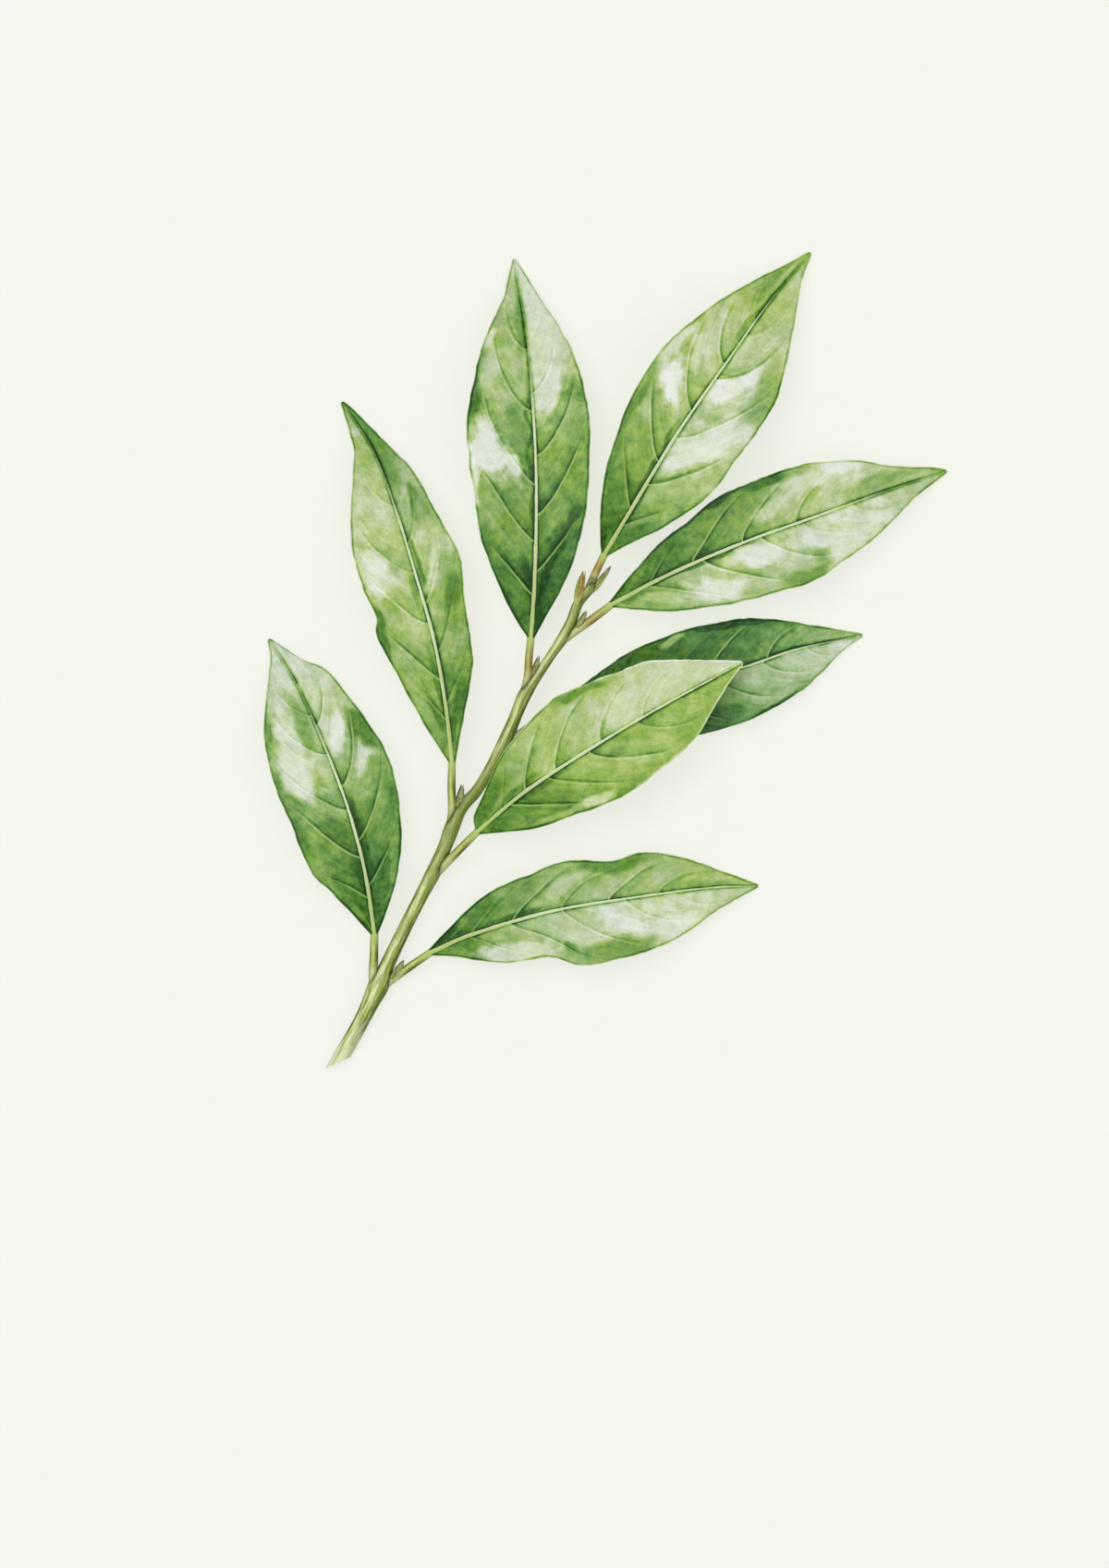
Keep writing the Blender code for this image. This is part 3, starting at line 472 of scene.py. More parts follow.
def cloud(x, y, seed, size=64):
    """Smooth random hills between -1 and 1, one unit apart, the same on each run."""
    table = np.random.RandomState(seed).uniform(-1.0, 1.0, (size, size))
    column, row = np.floor(x).astype(int), np.floor(y).astype(int)
    fx, fy = x - column, y - row
    fx, fy = fx * fx * (3 - 2 * fx), fy * fy * (3 - 2 * fy)
    c0, c1, r0, r1 = column % size, (column + 1) % size, row % size, (row + 1) % size
    near = table[r0, c0] * (1 - fx) + table[r0, c1] * fx
    far = table[r1, c0] * (1 - fx) + table[r1, c1] * fx
    return near * (1 - fy) + far * fy


def tube_frame(line, shares):
    """Cross-sections along a line of x, y, z, radius: their centres, radii, tangents, left and up."""
    rows = smooth_line(line, shares)
    tangents = unit(np.gradient(rows[:, :3], axis=0))
    left = unit(np.cross([0.0, 0.0, 1.0], tangents))
    return rows[:, :3], rows[:, 3], tangents, left, np.cross(tangents, left)


def tube_points(centres, radius, x, y, left, up):
    """Rows of points around centres, each at its radius in the direction x to the left and y up."""
    return centres[:, None] + radius[..., None] * (x[..., None] * left[:, None] + y[..., None] * up[:, None])


def loft(name, rings, attributes, materials, slots):
    """A closed mesh through rings of points, in millimetres: rows x sides x 3.

    attributes: name to one value per point, rows x sides. slots: one per face, rows-1 x sides.
    """
    rows, sides = rings.shape[:2]
    index = np.arange(rows * sides).reshape(rows, sides)
    after = np.roll(index, -1, axis=1)
    quads = np.stack([index[:-1], index[1:], after[1:], after[:-1]], axis=-1)
    faces = quads.reshape(-1, 4).tolist()
    face_slots = slots.reshape(-1).tolist()
    for hub, row, edge in ((rows * sides, 0, (index, after)), (rows * sides + 1, -1, (after, index))):
        faces += np.stack([np.full(sides, hub), edge[0][row], edge[1][row]], axis=-1).tolist()
        face_slots += [int(slots[row, 0])] * sides
    points = np.vstack([rings.reshape(-1, 3), rings[0].mean(axis=0), rings[-1].mean(axis=0)])
    mesh = bpy.data.meshes.new(name)
    mesh.from_pydata((points * MM).tolist(), [], faces)
    for key, values in attributes.items():
        values = np.concatenate([values.reshape(-1), [values[0].mean(), values[-1].mean()]])
        layer = mesh.attributes.new(key, "FLOAT", "POINT")
        layer.data.foreach_set("value", values.astype(np.float32))
    for material in materials:
        mesh.materials.append(material)
    mesh.polygons.foreach_set("material_index", face_slots)
    mesh.shade_smooth()
    mesh.update()
    obj = bpy.data.objects.new(name, mesh)
    bpy.context.scene.collection.objects.link(obj)
    return obj


def stand_for(piece, node):
    """The piece rides on the branch, stands for its CAD node, and has to lie where that node lies."""
    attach(piece, "root")
    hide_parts(node)
    low, high = np.array(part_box(node))
    corners = np.array(piece.bound_box)
    if (corners < low - ROOTED).any() or (corners > high + ROOTED).any():
        raise ValueError(f"{piece.name} strays from {node}: {corners}, {low}, {high}")


def crease_shade(points, tubes, first):
    """A mask for painted shade: 1 where points touch a tube given as x, y, z, radius, beyond its first
    share, and less further off.
    """
    nearest = np.full(points.shape[:-1], 9.0)
    for tube in tubes:
        for x, y, z, radius in smooth_line(tube, np.linspace(first, 1.0, 16 * len(tube))):
            nearest = np.minimum(nearest, np.linalg.norm(points - (x, y, z), axis=-1) - radius)
    return bell(np.maximum(nearest, 0.0), CREASE_SHADE_REACH)


# ---------------------------------------------------------------- leaves

def columns(count):
    """Places from 0 at the midrib to 1 at the margin, closer together at both ends."""
    t = np.linspace(0.0, 1.0, count + 1)
    return t - CROWDING * np.sin(2 * np.pi * t) / (2 * np.pi)


def along_leaf(ends, s):
    """A measure that runs from its value at the base to its value at the tip."""
    return ends[0] + (ends[1] - ends[0]) * s


def follow_veins(veins, q, u):
    """Where a row that starts at share q of the midrib lies at u across, and between which veins."""
    starts, reaches, strengths = np.array([(0.0, 0.0, 0.0), *veins, (1.0, 0.0, 0.0)]).T
    cell = np.clip(np.searchsorted(starts, q, side="right") - 1, 0, len(starts) - 2)
    t = (q - starts[cell]) / (starts[cell + 1] - starts[cell])
    t = t - VEIN_CROWDING * np.clip(u / 0.15, 0.0, 1.0) * np.sin(2 * np.pi * t) / (2 * np.pi)
    bend = u**VEIN_CURVE
    low = starts[cell] + reaches[cell] * bend
    high = starts[cell + 1] + reaches[cell + 1] * bend
    return {
        "s": low + t * (high - low),
        "cell": cell + t,
        "gap": high - low,
        "reach": reaches[cell] * (1 - t) + reaches[cell + 1] * t,
        "strength": strengths[cell] * (1 - t) + strengths[cell + 1] * t,
    }


def survey(leaf, q, v, seed):
    """The blade at row share q and place v across: position, and what its relief and colours need."""
    u = np.abs(v)
    is_left = v >= 0
    left, right = follow_veins(leaf.left_veins, q, u), follow_veins(leaf.right_veins, q, u)
    at = SimpleNamespace(**{key: np.where(is_left, left[key], right[key]) for key in left})
    s = at.s
    ends = smooth_line(leaf.rib, [0.0, END_SHARE, 1.0 - END_SHARE, 1.0])
    across = [unit(np.array([-(b - a)[1], (b - a)[0]])) for a, b in (ends[:2], ends[2:])]
    rib = smooth_line(leaf.rib, s)
    margins = []
    for side, sign in ((leaf.left, 1.0), (leaf.right, -1.0)):
        base = ends[0] + sign * BASE_HALF_WIDTH * across[0]
        tip = ends[3] + sign * TIP_HALF_WIDTH * across[1]
        margins.append(smooth_line([base, *side, tip], s))
    outward = np.where(is_left[..., None], *margins) - rib
    length = line_length(leaf.rib)
    width = np.linalg.norm(outward, axis=-1)
    trail = s * length + np.where(is_left, 20.0, 120.0)
    wobble = sum(high * cloud(trail / wave, trail * 0.0 + seed, 31 + number)
                 for number, (wave, high) in enumerate(MARGIN_WOBBLE))
    wobble = wobble * between(0.04, 0.12, s) * (1 - between(0.9, 0.98, s)) * u**3
    rounded = np.sqrt(1.0 - 0.96 * np.clip((s - 1.0) * length / TIP_ROUND + 1.0, 0.0, 1.0) ** 2)
    at.plan = rib + (rounded * (u + wobble / np.maximum(width, 1.0)))[..., None] * outward
    at.x, at.y = at.plan[..., 0], at.plan[..., 1]
    heights = smooth_line([(ARCH_STRETCH * a, h) for a, h in leaf.arch], np.linspace(0.0, 1.0, LINE_SAMPLES))
    at.rib_height = np.interp(ARCH_STRETCH * s, heights[:, 0], heights[:, 1])
    swell = np.sin(np.pi * np.clip(s, 0.0, 1.0)) ** SWELL_POWER
    fold = np.where(is_left, *leaf.fold) * u**FOLD_POWER
    tall, number, start = leaf.wave
    turn = 2 * np.pi * (number * s + start + RIPPLE_LAG * np.where(is_left, 1.0, -1.0))
    at.z = at.rib_height + swell * (fold + tall * u**2 * np.sin(turn))
    slope = at.reach * VEIN_CURVE * np.sqrt(u) * length / np.maximum(width, 0.5)
    at.pitch = at.gap * length / np.sqrt(1 + slope**2)
    at.vein = np.abs(at.cell - np.round(at.cell)) * at.pitch
    at.fraction = at.cell - np.floor(at.cell)
    at.u, at.v, at.q, at.is_left = u, v, q, is_left
    at.rib, at.signed_rib, at.edge = u * width, u * width * np.sign(v), (1 - u) * width
    at.fast = q * length
    return at


def hills(at, size, seed):
    """Random hills about size millimetres across, over the blade."""
    return cloud(at.x / size, at.y / size, seed)


def relief(at, seed):
    """How far the blade's upper face stands over its plain folded shape."""
    s, u = at.s, at.u
    fade = between(0.0, 0.12, s) * (1 - between(0.8, 1.0, s))
    bulge = np.sin(np.pi * at.fraction) * np.sin(np.pi * np.clip(u, 0.0, 1.0) ** 0.8) ** 0.8
    quilt = QUILT * fade * bulge * np.clip(at.pitch / 7.0, 0.0, 1.2)
    plain = at.strength * between(0.02, 0.1, u) * (1 - between(0.7, 0.97, u))
    vein = VEIN_RIDGE * plain * bell(at.vein, VEIN_HALF_WIDTH)
    furrow = VEIN_FURROW * plain * bell(at.vein, 2.6 * VEIN_HALF_WIDTH)
    half = along_leaf(RIB_HALF_WIDTH, s)
    ridge = along_leaf(RIB_RIDGE, s) * bell(at.rib, half)
    trough = RIB_TROUGH * (1 - s) * bell(at.rib - 2.2 * half, 0.9 * half)
    crinkle = CRINKLE * fade * u**4 * np.sin(2 * np.pi * at.cell)
    rolled = EDGE_ROLL * fade * between(0.9, 1.0, u)
    uneven = sum(high * hills(at, size, seed + number) for number, (size, high) in enumerate(UNEVEN))
    return quilt + vein - furrow + ridge - trough + crinkle - rolled + fade * u * uneven


def blade_faces(leaf, top, under, seed):
    """Heights of the upper face and of the underside, which melts into the round stalk at the base."""
    heights = []
    for at in (top, under):
        s = at.s
        meld = between(0.0, BASE_MELD, s)
        z = at.z + relief(at, seed) * meld - STALK_SINK * (1 - meld)
        radius = leaf.petiole[-1][3] * (1 - between(0.0, 0.35, s) * 0.75)
        round_part = np.sqrt(np.maximum(0.0, radius**2 - at.rib**2)) * (1 - between(0.03, 0.22, s))
        centre = at.rib_height - STALK_SINK
        by_stalk = (1 - meld) * (at.rib < radius)
        if at is top:
            heights.append(z + np.maximum(0.0, centre + round_part - z) * by_stalk)
        else:
            sheet = EDGE + (SHEET - EDGE) * between(0.0, 2.5, at.edge)
            keel = along_leaf(KEEL_DEPTH, s) * meld * bell(at.rib, along_leaf(KEEL_HALF_WIDTH, s))
            fade = between(0.05, 0.15, s) * (1 - between(0.8, 0.98, at.u))
            vein = UNDER_VEIN * at.strength * fade * bell(at.vein, 1.1 * VEIN_HALF_WIDTH)
            z = z - sheet - keel - vein
            heights.append(z - np.maximum(0.0, z - (centre - round_part)) * by_stalk)
    return heights


def wash_slant(u):
    """How far a wash has followed the side veins towards the tip, at u across."""
    return TYPICAL_REACH * np.minimum(u, WASH_BEND) ** VEIN_CURVE


def blade_tones(leaf, at, seed):
    """The blade's colouring: tone and warmth, and the pale washes, partly painted highlights, and the deep
    washes with their tones.
    """
    s, u, v, fraction = at.s, at.u, at.v, at.fraction
    place = at.q + 0.5 * TYPICAL_REACH * u**VEIN_CURVE
    tone = np.where(at.is_left, *[np.interp(place, (0.0, 0.33, 0.67, 1.0), side) for side in leaf.tone])
    tone = tone + DRIFT * (0.6 * hills(at, 5.0, seed + 2) + 0.4 * hills(at, 2.0, seed + 3))
    warm = np.where(at.is_left, *[np.interp(s, (0.0, 0.5, 1.0), side) for side in leaf.warmth])
    warm = warm + 0.40 * hills(at, 7.0, seed + 4) + 0.35 * hills(at, 2.6, seed + 8)
    shade = np.where(at.is_left, *leaf.rib_shade) * between(0.03, 0.12, s) * (1 - between(0.88, 1.0, s))
    beside_rib = at.rib - along_leaf(RIB_STRIPE, s)
    rib_shade = shade * (1.0 - 0.45 * fraction) * bell(np.maximum(beside_rib - 0.12, 0.0), 0.48)
    axil = AXIL_SHADE * at.strength * (1 - fraction) ** 3 * np.exp(-u / 0.22) * (1 - between(0.8, 1.0, s))
    patchy = 0.6 + 0.8 * between(-0.6, 0.6, hills(at, 5.0, seed + 9))
    cast = CELL_SHADE * np.clip(at.strength, 0.3, 1.0) * patchy * ((1 - fraction) ** 2 - 0.33)
    cast = cast * between(0.03, 0.10, s) * (1 - between(0.85, 1.0, s)) * (1 - between(0.55, 1.0, u))
    ragged = 0.4 + 0.6 * between(-0.5, 0.5, hills(at, 4.0, seed + 7))
    # A darker line just inside the margin, and right at the edge a pale rim: partly the margin's own paler
    # colour, partly a painted highlight where the leaf's thickness catches the light.
    outline = OUTLINE * ragged * bell(at.edge - 0.30, 0.20) - 0.16 * bell(at.edge, 0.12)
    # Painted highlight: a pale rim along the outer part of this leaf's margin.
    if leaf is LEAVES[ON_TOP]:
        rim = between(0.35, 0.6, s)
        outline = outline * (1 - rim) - 0.30 * ragged * rim * bell(at.edge - 0.15, 0.22)
    tones = {"tone": tone - cast, "warm": warm, "shade": rib_shade + axil + outline,
             "rib_shown": 1.0 - between(*leaf.rib_ends, s)}
    warped_s = s - wash_slant(u) + 0.014 * hills(at, 4.0, seed + 5)
    warped_v = v + 0.07 * hills(at, 4.5, seed + 6)
    for kind, where_none in (("pale_and_highlight", 0.9), ("deep", 0.2)):
        field = np.zeros_like(s)
        weight = np.full_like(s, 1e-9)
        weighted = where_none * weight
        for share, across, half_length, half_width, inside in leaf.washes:
            if (inside >= PALE_FROM) == (kind == "pale_and_highlight"):
                start = share - wash_slant(abs(across))
                reach = ((warped_s - start) / half_length) ** 2 + ((warped_v - across) / half_width) ** 2
                mask = np.exp(-0.7 * reach) * (np.sign(v + 1e-9) == np.sign(across))
                field = np.maximum(field, mask)
                weight += mask**4
                weighted += inside * mask**4
        tones[kind] = field
        tones[kind + "_tone"] = weighted / weight
    return tones


def stalk_rings(leaf, faces):
    """Round cross-sections of the stalk, from inside the stem to the blade, and where they are."""
    shares = np.linspace(0.0, 1.0, STALK_ROWS, endpoint=False)
    centres, radii, _, left, up = tube_frame(leaf.petiole, shares)
    rings = []
    for v, sign in zip(faces, (1.0, 0.0, -1.0, 0.0)):
        across = v * (math.cos(STALK_SLOPE) if sign else 1.0)
        rise = sign * np.sqrt(np.maximum(0.0, 1 - across**2))
        if sign > 0:
            rise = rise - STALK_GROOVE * bell(v, 0.4)
        rings.append(tube_points(centres, radii[:, None], across[None], rise[None], left, up))
    return np.concatenate(rings, axis=1), shares


def make_leaf(name, leaf, number, materials):
    seed = 100 + 10 * number
    half_top, half_under = columns(TOP_COLUMNS), columns(UNDER_COLUMNS)
    top_v = np.concatenate([half_top[::-1], -half_top[1:]])
    under_v = np.concatenate([-half_under[::-1], half_under[1:]])
    faces = (top_v, np.array([-1.0]), under_v, np.array([1.0]))
    q = np.linspace(0.0, 1.0 - TIP_SHARE, BLADE_ROWS - TIP_ROWS, endpoint=False)
    q = np.concatenate([q, np.linspace(1.0 - TIP_SHARE, 1.0, TIP_ROWS + 1)])[:, None]
    surveys = [survey(leaf, *np.broadcast_arrays(q, v[None]), seed) for v in faces]
    top, right_edge, under, left_edge = surveys
    top_z, under_z = blade_faces(leaf, top, under, seed)
    edges = []
    for at, middle in ((right_edge, 0.5 * (top_z[:, -1] + under_z[:, 0])),
                       (left_edge, 0.5 * (top_z[:, 0] + under_z[:, -1]))):
        outward = unit(at.plan - smooth_line(leaf.rib, at.s))
        edges.append(np.dstack([at.plan + EDGE_ROUND * outward, middle[:, None]]))
    blade = [np.dstack([top.plan, top_z]), edges[0], np.dstack([under.plan, under_z]), edges[1]]
    stalk, shares = stalk_rings(leaf, faces)
    rings = np.concatenate([stalk, np.concatenate(blade, axis=1)])

    for at in surveys:
        tones = blade_tones(leaf, at, seed)
        vars(at).update(tones)
    across = np.concatenate(faces)
    # Each attribute's name, what gives it on the blade, and its value on the stalk.
    measures = [
        ("vein_cell", "cell", 0.5), ("vein_pitch", "pitch", 8.0), ("vein_strength", "strength", 0.0),
        ("rib_distance", "signed_rib", 0.0), ("edge_distance", "edge", 5.0), ("across", "v", across),
        ("along", "s", (shares - 1.0)[:, None]), ("fast", "fast", across * leaf.petiole[-1][3]),
        ("slow", "signed_rib", (shares * line_length(leaf.petiole))[:, None]),
        *((key, key, None) for key in tones),
    ]
    attributes = {}
    for key, source, on_stalk in measures:
        values = np.concatenate([getattr(at, source) for at in surveys], axis=1)
        start = values[0] if on_stalk is None else on_stalk
        attributes[key] = np.concatenate([np.broadcast_to(start, (STALK_ROWS, len(across))), values])
    attributes["shade"][:STALK_ROWS] = crease_shade(stalk, [STEM], 0.0)
    middle = between(0.25, 0.45, shares) * (1.0 - between(0.75, 1.05, shares))
    reddish = REDDISH_STALKS.get(name, 0.0) * middle[:, None] * between(-0.5, 0.7, np.abs(across))
    attributes["reddish"] = np.concatenate([reddish, np.zeros(rings.shape[:2])[STALK_ROWS:]])
    slots = np.zeros((len(rings) - 1, len(across)), int)
    first_under = len(top_v) + 1
    slots[STALK_ROWS:, first_under:first_under + len(under_v) - 1] = 1
    stand_for(loft(name + "_blade", rings, attributes, materials, slots), name)


# ---------------------------------------------------------------- materials

class Wire:
    """A value in a material's node tree. Arithmetic with it adds Math nodes."""

    def __init__(self, nodes, socket):
        self.nodes = nodes
        self.socket = socket

    def __add__(self, other):
        return self.nodes.maths("ADD", self, other)

    def __sub__(self, other):
        return self.nodes.maths("SUBTRACT", self, other)

    def __mul__(self, other):
        return self.nodes.maths("MULTIPLY", self, other)

    def __abs__(self):
        return self.nodes.maths("ABSOLUTE", self)


def screen(colour):
    """A colour given as 0-255 screen values, as the shader's linear light."""
    return tuple(((c / 255 + 0.055) / 1.055) ** 2.4 if c > 10 else c / 255 / 12.92 for c in colour)


class Nodes:
    """Short ways to add shader nodes to one material."""

    def __init__(self, name):
        self.material = bpy.data.materials.new(name)
        self.material.use_nodes = True
        self.tree = self.material.node_tree
        self.shader = self.tree.nodes["Principled BSDF"]

    def link(self, value, socket):
        """The value is a wire, a colour or a number."""
        if isinstance(value, Wire):
            self.tree.links.new(value.socket, socket)
        else:
            socket.default_value = (*screen(value), 1.0) if isinstance(value, tuple) else value

    def add(self, kind, inputs, output=0, **settings):
        node = self.tree.nodes.new("ShaderNode" + kind)
        for key, value in settings.items():
            setattr(node, key, value)
        for key, value in inputs.items():
            self.link(value, node.inputs[key])
        return Wire(self, node.outputs[output])

    def value(self, name):
        """The mesh's attribute of that name."""
        return self.add("Attribute", {}, "Fac", attribute_name=name)

    def maths(self, operation, *inputs):
        return self.add("Math", dict(enumerate(inputs)), operation=operation)

    def rise(self, value, low, high, start=0.0, end=1.0):
        """start where the value is low, end where it is high, and an S-shaped rise in between."""
        inputs = {"Value": value, "From Min": low, "From Max": high, "To Min": start, "To Max": end}
        return self.add("MapRange", inputs, "Result", interpolation_type="SMOOTHSTEP")

    def place(self):
        return self.add("TexCoord", {}, "Object")

    def brush(self, narrow, long):
        """A place whose noise is stretched into strokes, along the side veins or along the stem."""
        inputs = {0: self.value("fast") * (MM / narrow), 1: self.value("slow") * (MM / long)}
        return self.add("CombineXYZ", inputs, "Vector")

    def noise(self, size, detail=2.0, place=None):
        """Noise with features about size millimetres across, from 0 to 1."""
        inputs = {"Vector": place or self.place(), "Scale": 1.0 / (size * MM), "Detail": detail}
        return self.add("TexNoise", inputs, "Fac")

    def cracks(self, size):
        """Distance to the walls of a net of cells about size millimetres across."""
        inputs = {"Vector": self.place(), "Scale": 1.0 / (size * MM)}
        return self.add("TexVoronoi", inputs, "Distance", feature="DISTANCE_TO_EDGE")

    def ramp(self, value, stops):
        node = self.tree.nodes.new("ShaderNodeValToRGB")
        elements = node.color_ramp.elements
        while len(elements) < len(stops):
            elements.new(0.5)
        for element, (position, colour) in zip(elements, stops):
            element.position = position
            element.color = (*screen(colour), 1.0)
        self.link(value, node.inputs["Fac"])
        return Wire(self, node.outputs["Color"])

    def mix(self, share, first, second):
        """The first colour, with that share of the second over it."""
        return self.add("Mix", {0: share, 6: first, 7: second}, 2, data_type="RGBA")

    def bump(self, height, strength, distance, under=None):
        inputs = {"Strength": strength, "Distance": distance * MM, "Height": height}
        if under is not None:
            inputs["Normal"] = under
        return self.add("Bump", inputs, "Normal")

    def finish(self, colour, roughness, normal, coat=0.0, coat_roughness=0.3):
        looks = {"Base Color": colour, "Roughness": roughness, "Normal": normal, "Coat Weight": coat,
                 "Coat Roughness": coat_roughness, "Specular IOR Level": SPECULAR}
        for key, value in looks.items():
            self.link(value, self.shader.inputs[key])
        return self.material


def vein_lines(n):
    """Masks for the side veins, for the fainter ones between them, and for the painted shade on one side of
    each.
    """
    cell = n.value("vein_cell") + (n.noise(4.0) - 0.5) * 0.06
    pitch = n.value("vein_pitch")
    fade = n.rise(n.value("edge_distance"), 1.2, 5.0) * n.value("vein_strength")
    signed = (n.maths("FRACT", cell + 0.5) - 0.5) * pitch
    main = n.rise(abs(signed), 0.10, 0.32, 1.0, 0.0) * n.maths("POWER", fade, 0.7)
    # The painted shade on one side of each vein.
    vein_shade = n.rise(abs(signed - 0.46), 0.10, 0.52, 1.0, 0.0) * fade
    vein_shade = vein_shade * n.rise(n.noise(5.0), 0.3, 0.6, 0.35, 1.0)
    middle = (n.maths("FRACT", cell) - 0.5) * pitch
    minor = n.rise(abs(middle), 0.06, 0.24, 1.0, 0.0) * fade
    minor = minor * n.rise(abs(n.value("rib_distance")), 1.0, 4.0, 0.0, 0.3)
    return main, minor, vein_shade


def leaf_top_material():
    n = Nodes("bay_leaf_top")
    along = n.value("along")
    rib = abs(n.value("rib_distance"))
    strokes = n.noise(1.0, 3.0, n.brush(1.1, 6.0)) - 0.5
    water = n.noise(3.2, 5.0) - 0.5
    grain = n.noise(0.5, 3.0) - 0.5
    blotches = n.noise(1.5, 6.0) - 0.5
    # The washes, with ragged edges and a thin darker rim. The pale ones are partly lighter green and partly
    # painted highlights for the leaf's gloss.
    tone = n.value("tone") + water * 0.40
    rough_edge = water * 0.62 + strokes * 0.16
    for kind, low in (("deep", 0.20), ("pale_and_highlight", 0.22)):
        field = n.value(kind) + rough_edge
        inside = n.value(kind + "_tone") + water * 0.16
        tone = tone + n.rise(field, low, 0.76, 0.0, 0.88) * (inside - tone)
        tone = tone - n.rise(abs(field - low), 0.0, 0.05, 0.05, 0.0)
    # The paint's own unevenness, weaker where it is pale.
    tone = tone + blotches * n.rise(tone, 0.1, 0.9, 0.38, 0.16)
    tone = tone + strokes * n.rise(tone, 0.5, 0.9, 0.22, 0.11)
    tone = tone + grain * 0.15
    net = n.rise(n.cracks(1.3), 0.02, 0.10, 1.0, 0.0)
    tone = tone + net * 0.02
    # The drawn lines: painted shades, the crease where the midrib darkens, the painted shade on one side of
    # each vein, its borders.
    tone = tone - n.value("shade")
    drawn_dark = n.rise(tone, 0.5, 0.95, 1.0, 0.40)
    hidden = n.rise(n.value("rib_shown"), 0.0, 1.0, RIB_CREASE, 0.0) * drawn_dark
    tone = tone - n.rise(rib, 0.08, 0.36, 1.0, 0.0) * hidden
    main, minor, vein_shade = vein_lines(n)
    tone = tone - vein_shade * (drawn_dark * 0.20)
    from_stripe = rib - n.maths("SUBTRACT", RIB_STRIPE[0], along * (RIB_STRIPE[0] - RIB_STRIPE[1]))
    depth = n.rise(n.noise(3.5), 0.3, 0.6, 0.05, 0.30)
    border = n.rise(abs(from_stripe - 0.18), 0.05, 0.30, depth, 0.0) * drawn_dark
    tone = tone - border * n.rise(along, 0.02, 0.12)
    # The pale lines: the side veins and the midrib.
    veins = n.maths("MAXIMUM", main, minor)
    lighter = n.maths("MAXIMUM", tone + 0.13, VEIN_TONE)
    tone = n.maths("MAXIMUM", tone + veins * 0.8 * (lighter - tone), 0.0)
    warm = n.rise(n.value("warm") + blotches * 2.2, -1.0, 1.0)
    green = n.mix(warm, n.ramp(tone, COOL_GREENS), n.ramp(tone, WARM_GREENS))
    rib_edge = from_stripe + (n.noise(4.0) - 0.5) * 0.35
    rib_mask = n.rise(rib_edge, -0.10, 0.10, 1.0, 0.0) * n.value("rib_shown")
    rib_colour = n.mix(n.rise(along, 0.0, 0.45), RIB_BASE, RIB_MIDDLE)
    right_side = n.rise(n.value("rib_distance"), 0.25, -0.35, 0.0, 0.35)
    green = n.mix(rib_mask, green, n.mix(right_side, rib_colour, RIB_SHADE))
    # The stalk.
    lit = n.value("across") + strokes * 1.6
    stalk = n.ramp(n.rise(lit, -1.1, 1.1), STALK_COLOURS)
    stalk = n.mix(n.rise(strokes, -0.20, 0.12, 0.3, 1.0) * n.value("reddish"), stalk, STALK_RED)
    stalk = n.mix(n.rise(along, FOOT_SHARE - 0.88, FOOT_SHARE - 0.62, 0.6, 0.0), stalk, STALK_FOOT)
    # Painted shade in the crease at the stalk's foot, where it meets the stem.
    stalk = n.mix(n.value("shade") * 0.65, stalk, CREASE_SHADE)
    colour = n.mix(n.rise(along, -0.35, 0.05, 1.0, 0.0), green, stalk)
    normal = n.bump(grain, 0.25, 0.05, n.bump(veins, 0.5, 0.08, n.bump(net, 0.35, 0.04)))
    return n.finish(colour, water * 0.16 + 0.46, normal, coat=0.06)


def leaf_under_material():
    n = Nodes("bay_leaf_under")
    main, minor, _ = vein_lines(n)
    cloudy = n.noise(3.0, 4.0)
    net = n.rise(n.cracks(1.1), 0.02, 0.12, 1.0, 0.0)
    sheet = n.mix(n.rise(cloudy, 0.3, 0.7), UNDER_DARK, UNDER_LIGHT)
    sheet = n.mix(net * 0.35, sheet, UNDER_NET)
    sheet = n.mix(n.maths("MAXIMUM", main, minor), sheet, UNDER_VEINS)
    past_keel = abs(n.value("rib_distance")) - n.rise(n.value("along"), 0.0, 0.95, 0.9, 0.2)
    colour = n.mix(n.rise(past_keel, -0.15, 0.2, 1.0, 0.0), sheet, UNDER_RIB)
    return n.finish(colour, 0.72, n.bump(net, 0.5, 0.06, n.bump(cloudy, 0.2, 0.2)))


# ---------------------------------------------------------------- stem

